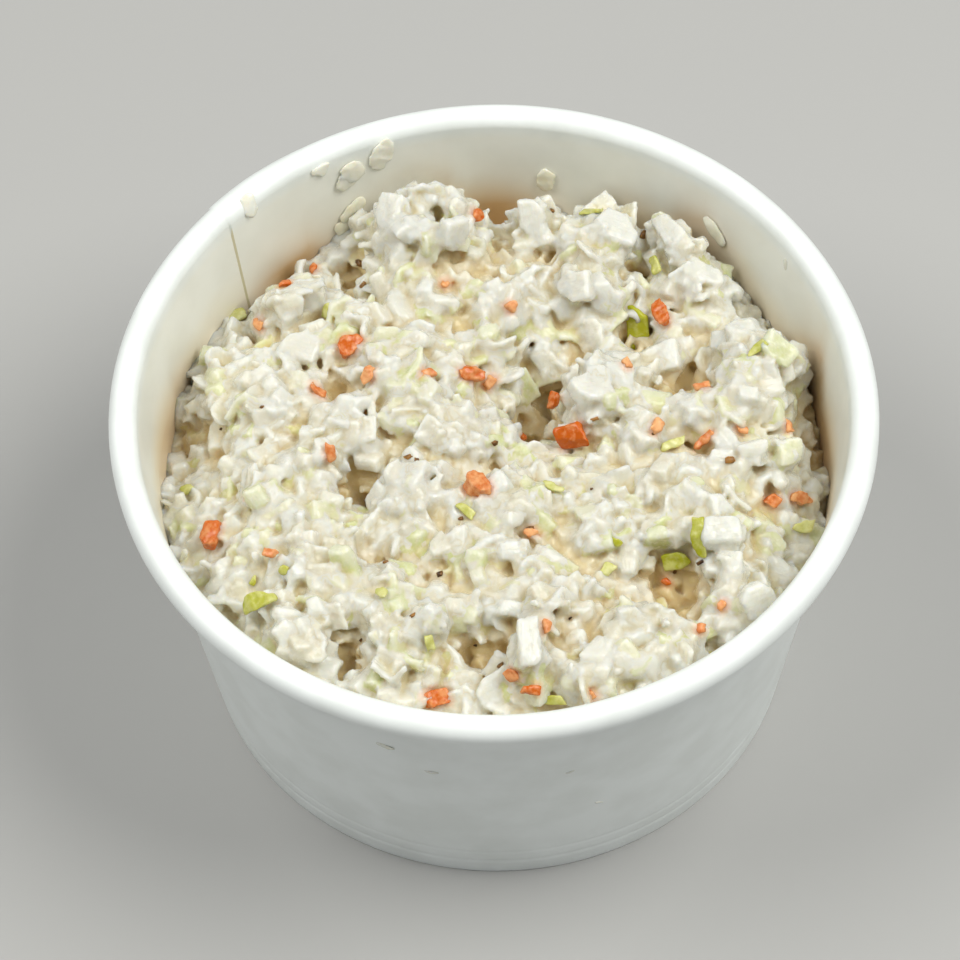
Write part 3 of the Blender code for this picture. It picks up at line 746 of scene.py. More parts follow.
def paper_sleeve(settings):
    bm = bmesh.new()
    points = sleeve_profile()
    verts = [bm.verts.new((r, 0.0, z)) for r, z in points]
    edges = [bm.edges.new((verts[i - 1], verts[i])) for i in range(len(verts))]
    bmesh.ops.spin(
        bm,
        geom=verts + edges,
        axis=(0.0, 0.0, 1.0),
        cent=(0.0, 0.0, 0.0),
        angle=2.0 * math.pi,
        steps=SLEEVE_STEPS,
        use_merge=True,
    )
    bmesh.ops.remove_doubles(bm, verts=bm.verts[:], dist=0.005)
    for edge in (SEAM_ANGLE, SEAM_ANGLE - LAP_WIDTH):
        for side in (-1.0, 1.0):
            cut_sleeve_at(bm, edge + side * SEAM_EDGE)
    for vert in bm.verts:
        shape_sleeve_vertex(vert.co)
    bmesh.ops.recalc_face_normals(bm, faces=bm.faces[:])
    mesh = mesh_from_bmesh("paper_sleeve", bm)
    write_marks(mesh, film_and_painted_shade_marks(mesh))
    piece = link_piece("paper_sleeve", mesh, coated_paperboard(settings))
    mesh.materials.append(raw_board_edge())
    for face in mesh.polygons:
        centre = face.center / MM
        edge = abs(before_seam(math.atan2(centre.y, centre.x))) < 1.1 * SEAM_EDGE
        if edge and on_inner_wall(centre):
            face.material_index = 1
    mesh.set_sharp_from_angle(angle=math.radians(38.0))
    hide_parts("cup_sleeve")
    return piece


def bump(x, y, row):
    """How far a lump or hollow reaches at a point: its full height in the middle, none past its radius."""
    _, centre_x, centre_y, radius, height = row
    t = math.hypot(x - centre_x, y - centre_y) / (LUMP_REACH * radius)
    return height * (1.0 - t**3) ** 2 if t < 1.0 else 0.0


def heap_height(x, y):
    """The heap's level at a point of the cup, in millimetres."""
    level = HEAP_LEVEL - HEAP_EDGE_DROP * (math.hypot(x, y) / HEAP_EDGE_RADIUS) ** HEAP_EDGE_POWER
    rise = sum(bump(x, y, row) ** LUMP_MERGE for row in LUMPS) ** (1.0 / LUMP_MERGE)
    return level + rise - sum(bump(x, y, row) for row in HOLLOWS)


def clumps(x, y):
    """The unevenness of chopped food on the heap: clumps about 6 mm across with smaller ones on them."""
    return sum(rise * noise.noise(Vector((x / width, y / width, plane))) for width, plane, rise in CLUMPS)


def surface_level(x, y):
    return min(HEAP_TOP_LIMIT - 0.6, heap_height(x, y) + clumps(x, y))


def surface_normal(x, y):
    step = 0.8
    slope_x = (surface_level(x + step, y) - surface_level(x - step, y)) / (2.0 * step)
    slope_y = (surface_level(x, y + step) - surface_level(x, y - step)) / (2.0 * step)
    return Vector((-slope_x, -slope_y, 1.0)).normalized()


@functools.lru_cache(maxsize=None)
def heap_core():
    """The dressing under the pieces: a turned block whose top follows the heap's level, less CORE_DEPTH."""
    bm = bmesh.new()
    bottom, top = CUT_LEVEL - 4.0, CUT_LEVEL + 4.0
    path = [(r, top) for r in np.linspace(0.0, inner_wall_radius(top), CORE_RINGS)]
    path += [(inner_wall_radius(bottom), bottom), (0.0, bottom)]
    verts = [bm.verts.new((r, 0.0, z)) for r, z in path]
    edges = [bm.edges.new(pair) for pair in zip(verts, verts[1:])]
    turn = {"axis": (0.0, 0.0, 1.0), "cent": (0.0, 0.0, 0.0), "angle": 2.0 * math.pi}
    bmesh.ops.spin(bm, geom=verts + edges, steps=CORE_SEGMENTS, use_merge=True, **turn)
    bmesh.ops.remove_doubles(bm, verts=bm.verts[:], dist=0.001)
    for vert in bm.verts:
        if vert.co.z > bottom + 1.0:
            vert.co.z = surface_level(vert.co.x, vert.co.y) - CORE_DEPTH
    bmesh.ops.recalc_face_normals(bm, faces=bm.faces[:])
    return shape_of(bm)


def shape_of(bm):
    """A bmesh's points and triangles as arrays, and frees it."""
    bmesh.ops.triangulate(bm, faces=bm.faces[:])
    bm.verts.index_update()
    points = np.array([vert.co[:] for vert in bm.verts])
    triangles = np.array([[v.index for v in face.verts] for face in bm.faces])
    bm.free()
    return in_order(points, triangles)


def cut_block(rng, length, width, thickness, cuts, ragged):
    """A knife-cut block at the origin: subdivided, with a few corners sliced off and its sides roughened."""
    bm = bmesh.new()
    bmesh.ops.create_cube(bm, size=1.0)
    bmesh.ops.scale(bm, vec=(length, width, thickness), verts=bm.verts[:])
    for _ in range(cuts):
        normal = Vector((rng.uniform(-1, 1), rng.uniform(-1, 1), rng.uniform(-0.35, 0.35))).normalized()
        reach = rng.uniform(0.26, 0.42) * (abs(normal.x) * length + abs(normal.y) * width)
        geom = bm.verts[:] + bm.edges[:] + bm.faces[:]
        bmesh.ops.bisect_plane(
            bm, geom=geom, dist=0.001, plane_co=normal * reach, plane_no=normal, clear_outer=True
        )
        open_edges = [e for e in bm.edges if e.is_boundary]
        if open_edges:
            bmesh.ops.holes_fill(bm, edges=open_edges, sides=0)
    bmesh.ops.triangulate(bm, faces=bm.faces[:])
    long_edges = [e for e in bm.edges if e.calc_length() > 0.9]
    bmesh.ops.subdivide_edges(bm, edges=long_edges, cuts=1, use_grid_fill=True)
    bmesh.ops.triangulate(bm, faces=bm.faces[:])
    shift = Vector((rng.uniform(0, 50), rng.uniform(0, 50), rng.uniform(0, 50)))
    for vert in bm.verts:
        vert.co += ragged * noise.noise_vector(vert.co * 1.1 + shift)
    return bm


def bend(bm, rng, length, height):
    """Curls and twists a thin piece along its length."""
    curl = rng.uniform(-height, height)
    twist = rng.uniform(-0.5, 0.5)
    wave = rng.uniform(0.0, 0.35) * abs(height)
    for vert in bm.verts:
        t = 2.0 * vert.co.x / length
        vert.co.z += curl * (t * t - 0.4) + wave * math.sin(5.0 * t + 3.0 * vert.co.y)
        vert.co.rotate(Euler((twist * t, 0.0, 0.0)))


def dice_shape(rng):
    length, width, thickness = (rng.uniform(*span) for span in RIB_DICE)
    return shape_of(cut_block(rng, length, width, thickness, 3, 0.22))


def flake_shape(rng):
    length, width, thickness = (rng.uniform(*span) for span in LEAF_FLAKE)
    bm = cut_block(rng, length, width, thickness, 3, 0.26)
    bend(bm, rng, length, 0.8)
    return shape_of(bm)


def shred_shape(rng):
    length, width, thickness = (rng.uniform(*span) for span in SHRED)
    bm = cut_block(rng, length, width, thickness, 2, 0.16)
    bend(bm, rng, length, 1.1)
    return shape_of(bm)


def crumb_shape(rng):
    length, width, thickness = (rng.uniform(*span) for span in CRUMB)
    return shape_of(cut_block(rng, length, width, thickness, 3, 0.3))


SHAPE_MAKERS = {"dice": dice_shape, "flake": flake_shape, "shred": shred_shape, "crumb": crumb_shape}


class Batch:
    """Copies of small closed shapes, each turned and set in its place, as one mesh with a mark per triangle."""

    def __init__(self):
        self.points, self.triangles, self.marks, self.count = [], [], [], 0
        self.axes = []

    def copy(self):
        other = Batch()
        other.points, other.triangles, other.marks = self.points[:], self.triangles[:], self.marks[:]
        other.count, other.axes = self.count, self.axes[:]
        return other

    def add(self, shape, turn, place, mark):
        points, triangles = shape
        self.points.append(points @ np.array(turn.to_3x3()).T + np.array(place))
        self.triangles.append(triangles + self.count)
        self.marks.append(np.full(len(triangles), mark))
        self.axes.append(turn.to_3x3().col[0][:])
        self.count += len(points)

    def arrays(self):
        return np.concatenate(self.points), np.concatenate(self.triangles), np.concatenate(self.marks)

    def tree(self):
        points, triangles, _ = self.arrays()
        return BVHTree.FromPolygons([Vector(p) for p in points], triangles.tolist())

    def mesh(self, name, shares):
        """The batch as a mesh in metres, with each copy's share in the red of its piece_marks attribute."""
        points, triangles, marks = self.arrays()
        mesh = mesh_from_arrays(name, points * MM, triangles)
        values = np.zeros((len(points), 4), dtype=np.float32)
        values[triangles.ravel(), 0] = np.repeat(np.array(shares)[marks], 3)
        write_marks(mesh, values)
        return mesh


def mesh_from_arrays(name, points, triangles):
    mesh = bpy.data.meshes.new(name)
    mesh.vertices.add(len(points))
    mesh.vertices.foreach_set("co", points.astype(np.float32).ravel())
    mesh.loops.add(3 * len(triangles))
    mesh.loops.foreach_set("vertex_index", triangles.astype(np.int32).ravel())
    mesh.polygons.add(len(triangles))
    mesh.polygons.foreach_set("loop_start", np.arange(0, 3 * len(triangles), 3, dtype=np.int32))
    mesh.update(calc_edges=True)
    return mesh


def write_marks(mesh, values):
    attribute = mesh.attributes.new("piece_marks", "FLOAT_COLOR", "POINT")
    attribute.data.foreach_set("color", values.astype(np.float32).ravel())


def keep_off_wall(points, margin):
    """Moves points towards the axis where they pass the cup's inner wall."""
    radius = np.hypot(points[:, 0], points[:, 1])
    limit = inner_wall_radius(points[:, 2]) + margin
    pull = np.minimum(1.0, limit / np.maximum(radius, 1e-6))
    points[:, 0] *= pull
    points[:, 1] *= pull
    return points


@functools.lru_cache(maxsize=None)
def kind_shapes(kind, seed):
    rng = random.Random(f"{kind}{seed}")
    return [SHAPE_MAKERS[kind](rng) for _ in range(SHAPES_PER_KIND)]


def seat(rng, x, y, lift, tilt_spread):
    """A place and a turn for a piece bedded in the heap's surface, tilted off it at random."""
    normal = surface_normal(x, y)
    place = Vector((x, y, surface_level(x, y))) + normal * lift
    tilt = Euler((rng.gauss(0.0, tilt_spread), rng.gauss(0.0, tilt_spread), 0.0)).to_matrix()
    spin = Matrix.Rotation(rng.uniform(0.0, 2.0 * math.pi), 3, "Z")
    return place, normal.to_track_quat("Z", "Y").to_matrix() @ tilt @ spin


def pixel_ray(column, row):
    """The camera's place, and the direction in which it sees a pixel of the photograph's frame."""
    half = IMAGE_SIZE / 2.0
    matrix = camera_matrix()
    direction = Vector(((column - half) / FOCAL_PIXELS, (half - row) / FOCAL_PIXELS, -1.0))
    return Vector(CAMERA_PLACE_MM), (matrix.to_3x3() @ direction).normalized()


def picture_turn(normal, degrees, rng, tilt_spread):
    """Lays a piece on a surface with its length turned as the photograph shows it, and tilts it a little."""
    axes = camera_matrix().to_3x3()
    angle = math.radians(degrees)
    along = axes @ Vector((math.cos(angle), math.sin(angle), 0.0))
    along = (along - normal * along.dot(normal)).normalized()
    turn = Matrix((along, normal.cross(along), normal)).transposed()
    tilt = Euler((rng.gauss(0.0, tilt_spread), rng.gauss(0.0, tilt_spread), 0.0)).to_matrix()
    return turn @ tilt


@functools.lru_cache(maxsize=None)
def scattered_pieces(count, seed):
    """Every chopped cabbage piece of the heap's surface, and each one's tone from 0 to 1."""
    rng = random.Random(seed)
    batch = Batch()
    tones = []
    limits = np.cumsum([share for _, share in KIND_SHARES])
    for index in range(count):
        share = math.sqrt((index + 0.5) / count)
        angle = index * GOLDEN_ANGLE + rng.uniform(-0.1, 0.1)
        radius = HEAP_REACH * min(1.0, share + rng.gauss(0.0, 0.006))
        kind = KIND_SHARES[int(np.searchsorted(limits, rng.random()))][0]
        shape = rng.choice(kind_shapes(kind, seed))
        x, y = radius * math.cos(angle), radius * math.sin(angle)
        lift = min(PIECE_LIFT[1], max(PIECE_LIFT[0], rng.gauss(*PIECE_LIFT_SPREAD)))
        place, turn = seat(rng, x, y, lift, 0.7)
        batch.add(shape, turn, place, index)
        tones.append(rng.random())
    chips = bedded(CHIPS, chip_shape, slaw_tree(batch), 31, 0.75)
    for index, (shape, turn, place, tone) in enumerate(chips, count):
        batch.add(shape, turn, place, index)
        tones.append(tone)
    return batch, tones


def slaw_tree(batch):
    """What rays from the camera meet before the slaw is joined: the core and its scattered pieces."""
    points, triangles, _ = batch.arrays()
    core_points, core_triangles = heap_core()
    joined = [Vector(p) for p in np.concatenate([core_points, points])]
    joined_triangles = np.concatenate([core_triangles, triangles + len(core_points)])
    return BVHTree.FromPolygons(joined, joined_triangles.tolist())


def bedded(rows, make, tree, seed, sink):
    """The pieces that the photograph shows, each as a shape, a turn, a place and its share, where its pixel
    meets the tree's surface. Sink is how much of the piece's thickness lies in it."""
    rng = random.Random(seed)
    pieces = []
    for name, column, row, length, width, degrees, share in rows:
        origin, direction = pixel_ray(column, row)
        place, normal, _, _ = tree.ray_cast(origin, direction)
        if place is None:
            raise RuntimeError(f"{name} meets nothing at pixel {column}, {row}")
        if math.hypot(place.x, place.y) < HEAP_REACH - 0.5:
            normal = surface_normal(place.x, place.y)
        normal = (normal - 0.5 * direction).normalized()
        shape, thickness = make(rng, length, width)
        turn = picture_turn(normal, degrees, rng, 0.15)
        pieces.append((shape, turn, place + normal * (0.5 - sink) * thickness, share))
    return pieces


@functools.lru_cache(maxsize=None)
def coloured_bits(kind, count, seed):
    """The carrot or leaf bits of the heap, bedded among its scattered pieces."""
    batch, _ = scattered_pieces(count, seed)
    rows, make, start = {"carrot": (CARROTS, carrot_bit, 21), "leaf": (LEAVES, leaf_bit, 22)}[kind]
    return bedded(rows, make, slaw_tree(batch), start, 0.55)


def voxel_join(points, triangles, voxel):
    """One closed skin round overlapping closed shapes, as dressing coats and joins them."""
    mesh = mesh_from_arrays("joined", points, triangles)
    carrier = bpy.data.objects.new("joined", mesh)
    bpy.context.scene.collection.objects.link(carrier)
    remesh = carrier.modifiers.new("coat", "REMESH")
    remesh.mode = "VOXEL"
    remesh.voxel_size = voxel
    graph = bpy.context.evaluated_depsgraph_get()
    skin = bpy.data.meshes.new_from_object(carrier.evaluated_get(graph))
    bpy.data.objects.remove(carrier)
    bpy.data.meshes.remove(mesh)
    return skin


def close_below(bm):
    """Cuts the skin at the cut level, and closes it with a plain side and bottom down to the cup's floor."""
    geom = bm.verts[:] + bm.edges[:] + bm.faces[:]
    bmesh.ops.bisect_plane(
        bm, geom=geom, dist=0.001, plane_co=(0.0, 0.0, CUT_LEVEL), plane_no=(0.0, 0.0, 1.0), clear_inner=True
    )
    rim = [edge for edge in bm.edges if edge.is_boundary]
    side = bmesh.ops.extrude_edge_only(bm, edges=rim)["geom"]
    low = [g for g in side if isinstance(g, bmesh.types.BMVert)]
    floor_z = FLOOR_TOP + 0.3
    for vert in low:
        angle = math.atan2(vert.co.y, vert.co.x)
        radius = inner_wall_radius(floor_z)
        vert.co = Vector((radius * math.cos(angle), radius * math.sin(angle), floor_z))
    bmesh.ops.holes_fill(bm, edges=[e for e in bm.edges if e.is_boundary], sides=0)
    bmesh.ops.triangulate(bm, faces=bm.faces[:])
    bmesh.ops.recalc_face_normals(bm, faces=bm.faces[:])


def drop_loose_bodies(bm):
    """Keeps the skin's largest body and deletes scraps and sealed hollows."""
    unseen = set(bm.verts)
    bodies = []
    while unseen:
        front = [unseen.pop()]
        body = list(front)
        while front:
            vert = front.pop()
            for edge in vert.link_edges:
                other = edge.other_vert(vert)
                if other in unseen:
                    unseen.discard(other)
                    body.append(other)
                    front.append(other)
        bodies.append(body)
    bodies.sort(key=len)
    bmesh.ops.delete(bm, geom=[vert for body in bodies[:-1] for vert in body], context="VERTS")


def decimated(mesh, most):
    """A copy of a mesh with no more than this many triangles."""
    mesh.calc_loop_triangles()
    share = most / max(1, len(mesh.loop_triangles))
    if share >= 1.0:
        return mesh
    carrier = bpy.data.objects.new("thinned", mesh)
    bpy.context.scene.collection.objects.link(carrier)
    thin = carrier.modifiers.new("thin", "DECIMATE")
    thin.ratio = share
    graph = bpy.context.evaluated_depsgraph_get()
    lighter = bpy.data.meshes.new_from_object(carrier.evaluated_get(graph))
    bpy.data.objects.remove(carrier)
    return lighter


class Surface:
    """A mesh's points, edges and triangles as arrays, for smoothing that looks at each point's neighbours."""

    def __init__(self, mesh):
        mesh.calc_loop_triangles()
        self.co = read_array(mesh.vertices, "co", 3, np.float32).astype(float)
        self.edges = read_array(mesh.edges, "vertices", 2, np.int32)
        self.triangles = read_array(mesh.loop_triangles, "vertices", 3, np.int32)
        ends = self.edges.ravel()
        self.degree = np.maximum(1, np.bincount(ends, minlength=len(self.co)))[:, None]

    def spread(self, values):
        """Each point's average over its neighbours."""
        a, b = self.edges.T
        count = len(self.co)
        total = [np.bincount(a, v[b], count) + np.bincount(b, v[a], count) for v in values.T]
        return np.array(total).T / self.degree

    def normals(self):
        a, b, c = (self.co[self.triangles[:, i]] for i in range(3))
        face = np.cross(b - a, c - a)
        total = np.zeros_like(self.co)
        for corner in range(3):
            for axis in range(3):
                total[:, axis] += np.bincount(self.triangles[:, corner], face[:, axis], len(self.co))
        return total / np.maximum(np.linalg.norm(total, axis=1, keepdims=True), 1e-12)


def read_array(items, name, width, kind):
    values = np.empty(width * len(items), dtype=kind)
    items.foreach_get(name, values)
    return values.reshape(-1, width)


def pool_dressing(mesh):
    """Fills narrow hollows as thick dressing does, more in some patches, leaves edges nearly sharp, and
    crumples the rest as torn leaf is."""
    surface = Surface(mesh)
    creamy = np.array([noise.noise(Vector(co) / 5.0 + Vector((9.0, 2.0, 5.0))) for co in surface.co])
    fill = np.clip(0.6 + 0.9 * creamy, 0.25, 1.0)
    for turn in range(POOL_ROUNDS):
        if turn % 3 == 0:
            normals = surface.normals()
        shift = surface.spread(surface.co) - surface.co
        rise = (shift * normals).sum(1)
        share = np.where(rise > 0.0, fill, 0.22 + 0.15 * fill)
        surface.co += 0.85 * share[:, None] * shift
    crumple = np.array([noise.turbulence(Vector(co) / 1.3, 3, True) for co in surface.co])
    surface.co += ((0.55 - crumple) * (CRUMPLE * (1.25 - fill)))[:, None] * surface.normals()
    mesh.vertices.foreach_set("co", surface.co.astype(np.float32).ravel())
    mesh.update()


def hollowness(mesh):
    """For each vertex 0.5 on even ground, towards 1 in hollows and 0 on tips, near it and then more broadly."""
    surface = Surface(mesh)
    smooth = surface.co.copy()
    for _ in range(NEAR_ROUNDS):
        smooth = 0.5 * smooth + 0.5 * surface.spread(smooth)
    near = ((smooth - surface.co) * surface.normals()).sum(1) / (NEAR_DEPTH * MM)
    broad = (broad_level(surface.co) - surface.co[:, 2]) / (BROAD_DEPTH * MM)
    return np.clip(0.5 + 0.5 * near, 0.0, 1.0), np.clip(0.5 + 0.5 * broad, 0.0, 1.0)


def broad_level(co):
    """The heap's mean level some millimetres round each point, from averages over square cells."""
    cell, spread = 1.0 * MM, 3.0
    place = np.floor((co[:, :2] + RIM_OUTER_RADIUS * MM) / cell).astype(int)
    width = int(2.0 * RIM_OUTER_RADIUS) + 1
    top = co[:, 2] > CUT_LEVEL * MM + 0.1 * MM
    slot = place[:, 0] * width + place[:, 1]
    count = np.bincount(slot[top], minlength=width * width).reshape(width, width)
    total = np.bincount(slot[top], co[top, 2], width * width).reshape(width, width)
    reach = np.arange(-9, 10)
    weights = np.exp(-0.5 * (reach / spread) ** 2)
    for axis in (0, 1):
        count = sum(w * np.roll(count, int(r), axis) for w, r in zip(weights, reach))
        total = sum(w * np.roll(total, int(r), axis) for w, r in zip(weights, reach))
    return (total / np.maximum(count, 1e-9)).ravel()[slot]


def mark_pieces(mesh, batch, tones, carrots):
    """Writes each vertex's piece tone, near and broad hollowness and carrot stain to the piece_marks attribute,
    and the way in which its piece lies to piece_axis."""
    tree, (_, _, marks) = batch.tree(), batch.arrays()
    stains = carrots.tree()
    near, broad = hollowness(mesh)
    values = np.zeros((len(mesh.vertices), 4), dtype=np.float32)
    values[:, 1], values[:, 2] = near, broad
    axes = np.zeros((len(mesh.vertices), 3), dtype=np.float32)
    for vert in mesh.vertices:
        place = vert.co / MM
        _, _, index, _ = tree.find_nearest(place, 1.2)
        values[vert.index, 0] = 0.45 if index is None else tones[marks[index]]
        axes[vert.index] = (1.0, 0.0, 0.0) if index is None else batch.axes[marks[index]]
        _, _, _, distance = stains.find_nearest(place, STAIN_REACH)
        values[vert.index, 3] = 0.0 if distance is None else 1.0 - distance / STAIN_REACH
    write_marks(mesh, values)
    mesh.attributes.new("piece_axis", "FLOAT_VECTOR", "POINT").data.foreach_set("vector", axes.ravel())


def make_room(batch, bits):
    """Presses the cabbage that lies over a carrot or leaf bit down to its middle, so that the bit shows."""
    middles = np.array([points.mean(axis=0) for points in batch.points])
    for _, turn, place, _ in bits:
        up, centre = np.array(turn.col[2]), np.array(place)
        for index in np.flatnonzero(np.linalg.norm(middles - centre, axis=1) < ROOM_REACH):
            height = ((batch.points[index] - centre) @ up).max() + ROOM_GAP
            if height > 0.0:
                batch.points[index] = batch.points[index] - up * height


def coated_heap(settings):
    """The slaw as one closed skin: the pieces and their core, coated, pooled, cut off below and thinned."""
    batch, tones = scattered_pieces(settings.pieces, settings.seed)
    batch, tones, carrots = batch.copy(), list(tones), Batch()
    kinds = {kind: coloured_bits(kind, settings.pieces, settings.seed) for kind in ("carrot", "leaf")}
    make_room(batch, kinds["leaf"] + kinds["carrot"])
    for shape, turn, place, _ in kinds["carrot"]:
        batch.add((shape[0] * BED_SHARE, shape[1]), turn, place, len(tones))
        tones.append(0.6)
        carrots.add(shape, turn, place, 0)
    points, triangles, _ = batch.arrays()
    core_points, core_triangles = heap_core()
    points = keep_off_wall(points.copy(), WALL_MARGIN)
    joined = np.concatenate([core_points, points])
    joined_triangles = np.concatenate([core_triangles, triangles + len(core_points)])
    skin = voxel_join(joined, joined_triangles, settings.voxel / MM)
    pool_dressing(skin)
    bm = bmesh.new()
    bm.from_mesh(skin)
    bpy.data.meshes.remove(skin)
    close_below(bm)
    drop_loose_bodies(bm)
    for vert in bm.verts:
        radius = math.hypot(vert.co.x, vert.co.y)
        limit = inner_wall_radius(vert.co.z) + WALL_BITE
        if radius > limit:
            vert.co.xy = vert.co.xy * (limit / radius)
    mesh = decimated(mesh_from_bmesh("coleslaw_heap", bm), settings.triangles)
    mark_pieces(mesh, batch, tones, carrots)
    piece = link_piece("coleslaw_heap", mesh, dressed_cabbage(settings))
    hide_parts("coleslaw")
    return piece


def surface_tree(name):
    """What rays from the camera meet on this piece as it stands."""
    surface = Surface(bpy.data.objects[name].data)
    return BVHTree.FromPolygons([Vector(p) for p in surface.co / MM], surface.triangles.tolist())


def rounded(bm, rounds):
    """Softens a cut block's edges, as handling and dressing do."""
    axes = {"use_axis_x": True, "use_axis_y": True, "use_axis_z": True}
    for _ in range(rounds):
        bmesh.ops.smooth_vert(bm, verts=bm.verts[:], factor=0.5, **axes)
    return bm


def joined_bits(name, pieces, material, veil_depth=0.0):
    """One joined mesh of bedded pieces. Here and there they sink a little, so that dressing laps over them."""
    batch, shares = Batch(), []
    for index, (shape, turn, place, share) in enumerate(pieces):
        points = shape[0].copy()
        drift = Vector((index * 7.3, index * 3.1, 0.0))
        for point in points:
            point *= PROUD + veil_depth * share * noise.noise(Vector(point) * 1.4 + drift)
        batch.add((points, shape[1]), turn, place, index)
        shares.append(share)
    return link_piece(name, batch.mesh(name, shares), material)


def chip_shape(rng, length, width):
    thickness = 0.5 * width
    return shape_of(cut_block(rng, length, width, thickness, 3, 0.38)), thickness


def refined(bm, rounds, longest):
    """Divides a block's long edges, so that smoothing rounds it evenly."""
    for _ in range(rounds):
        long_edges = [e for e in bm.edges if e.calc_length() > longest]
        bmesh.ops.subdivide_edges(bm, edges=long_edges, cuts=1, use_grid_fill=True)
        bmesh.ops.triangulate(bm, faces=bm.faces[:])
    return bm


def carrot_bit(rng, length, width):
    thickness = rng.uniform(0.6, 0.8) * width
    bm = cut_block(rng, length * 1.15, width * 1.15, thickness, 5, 0.1)
    bm = rounded(refined(bm, 2, 0.4), 2)
    shift = Vector((rng.uniform(0, 50), 0.0, 0.0))
    for vert in bm.verts:
        vert.co += 0.16 * noise.noise_vector(vert.co * 1.8 + shift)
    return shape_of(bm), thickness


def leaf_bit(rng, length, width):
    thickness = 0.45
    bm = cut_block(rng, length * 1.15, width * 1.2, thickness, 4, 0.05)
    refined(bm, 2, 0.5)
    bend(bm, rng, length, 0.12 * length)
    shift = Vector((rng.uniform(0, 50), 0.0, 0.0))
    for vert in bm.verts:
        vert.co += 0.2 * noise.noise_vector(vert.co * 1.3 + shift)
    return shape_of(rounded(bm, 1)), thickness


def speck(rng, length, width):
    bm = cut_block(rng, length, width, 0.6 * width, 4, 0.04)
    return shape_of(bm), 0.6 * width


def wet_scrap(rng, length, width):
    """A soft flat scrap or drop that dressing holds to the wall."""
    thickness = min(0.75, 0.3 * width)
    bm = bmesh.new()
    bmesh.ops.create_icosphere(bm, subdivisions=4, radius=0.5)
    shift = Vector((rng.uniform(0, 50), rng.uniform(0, 50), 0.0))
    for vert in bm.verts:
        x, y, z = vert.co
        square = 0.5 / max(abs(x), abs(y), 0.3)
        vert.co.xy *= 1.0 + 0.35 * (square - 1.0) * (1.0 - abs(2.0 * z))
    bmesh.ops.scale(bm, vec=(length, width, thickness), verts=bm.verts[:])
    for vert in bm.verts:
        vert.co += Vector((0.45, 0.45, 0.12)) * noise.noise_vector(vert.co * 0.8 + shift)
    return shape_of(bm), thickness


def laid_on_wall(pieces):
    """Bends each scrap to the paper behind it, inside or outside. What hangs on the rim stays as it is."""
    laid = []
    for (points, triangles), turn, place, share in pieces:
        spots = points @ np.array(turn.to_3x3()).T + np.array(place)
        if place.z < BEAD_LEVEL:
            height = points[:, 2] - points[:, 2].min() - SCRAP_BITE
            inner, outer = inner_wall_radius(spots[:, 2]), outer_wall_radius(spots[:, 2])
            outside = math.hypot(place.x, place.y) > inner_wall_radius(place.z) + 0.5 * PAPER
            radius = outer + height if outside else inner - height
            spots[:, :2] *= (radius / np.hypot(spots[:, 0], spots[:, 1]))[:, None]
        laid.append(((spots - np.array(place), triangles), Matrix.Identity(3), place, share))
    return laid


def camera_matrix():
    turn = Matrix.Rotation(CAMERA_YAW, 4, "Z")
    turn = turn @ Matrix.Rotation(math.pi / 2.0 - CAMERA_PITCH, 4, "X") @ Matrix.Rotation(CAMERA_ROLL, 4, "Z")
    return Matrix.Translation(Vector(CAMERA_PLACE_MM) * MM) @ turn


def add_area_light(name, place, size, energy, tint):
    light = bpy.data.lights.new(name, "AREA")
    light.shape = "DISK"
    light.size = size
    light.energy = energy
    light.color = linear(tint)
    lamp = bpy.data.objects.new(name, light)
    lamp.location = place
    lamp.rotation_euler = (Vector(place) - Vector((0.0, 0.0, 0.03))).to_track_quat("Z", "Y").to_euler()
    bpy.context.scene.collection.objects.link(lamp)


def studio():
    """The pale floor, the soft lights and the camera."""
    scene = bpy.context.scene
    camera = bpy.data.cameras.new("camera")
    camera.sensor_width = SENSOR_MM
    camera.lens = FOCAL_PIXELS / IMAGE_SIZE * SENSOR_MM
    camera.clip_start, camera.clip_end = 0.01, 20.0
    viewer = bpy.data.objects.new("camera", camera)
    viewer.matrix_world = camera_matrix()
    scene.collection.objects.link(viewer)
    scene.camera = viewer
    bm = bmesh.new()
    bmesh.ops.create_grid(bm, x_segments=1, y_segments=1, size=1500.0)
    mesh = mesh_from_bmesh("pale_floor", bm)
    material = empty_material("pale_matte_floor")
    shader = add_node(
        material.node_tree,
        "ShaderNodeBsdfPrincipled",
        {"Base Color": opaque(linear("#B4B4B2")), "Roughness": 0.9, "Specular IOR Level": 0.2},
    )
    add_node(material.node_tree, "ShaderNodeOutputMaterial", links={"Surface": shader.outputs["BSDF"]})
    mesh.materials.append(material)
    floor = bpy.data.objects.new("pale_floor", mesh)
    scene.collection.objects.link(floor)
    add_area_light("right_softbox", (0.35, -0.03, 0.62), 0.42, 3.65, "#FEFDF8")
    add_area_light("left_softbox", (-0.36, 0.0, 0.62), 0.42, 2.6, "#FEFDF8")
    world = bpy.data.worlds.new("soft_room")
    world.use_nodes = True
    backdrop = world.node_tree.nodes["Background"]
    backdrop.inputs["Color"].default_value = opaque(linear("#F4F6FA"))
    backdrop.inputs["Strength"].default_value = 0.28
    scene.world = world
    scene.view_settings.view_transform = "Standard"


class COLESLAW_OT_studio(bpy.types.Operator):
    """Sets the pale floor, the soft lights and the camera"""

    bl_idname = "coleslaw.studio"
    bl_label = "Studio"

    def execute(self, context):
        studio()
        return {"FINISHED"}


class COLESLAW_OT_paper_cup(bpy.types.Operator):
    """Models the cup's paper sleeve and finishes its floor"""

    bl_idname = "coleslaw.paper_cup"
    bl_label = "Paper cup"

    def execute(self, context):
        sleeve = paper_sleeve(context.scene.cup_settings)
        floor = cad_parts["cup_floor"]
        floor.data.materials.clear()
        floor.data.materials.append(sleeve.data.materials[0])
        return {"FINISHED"}


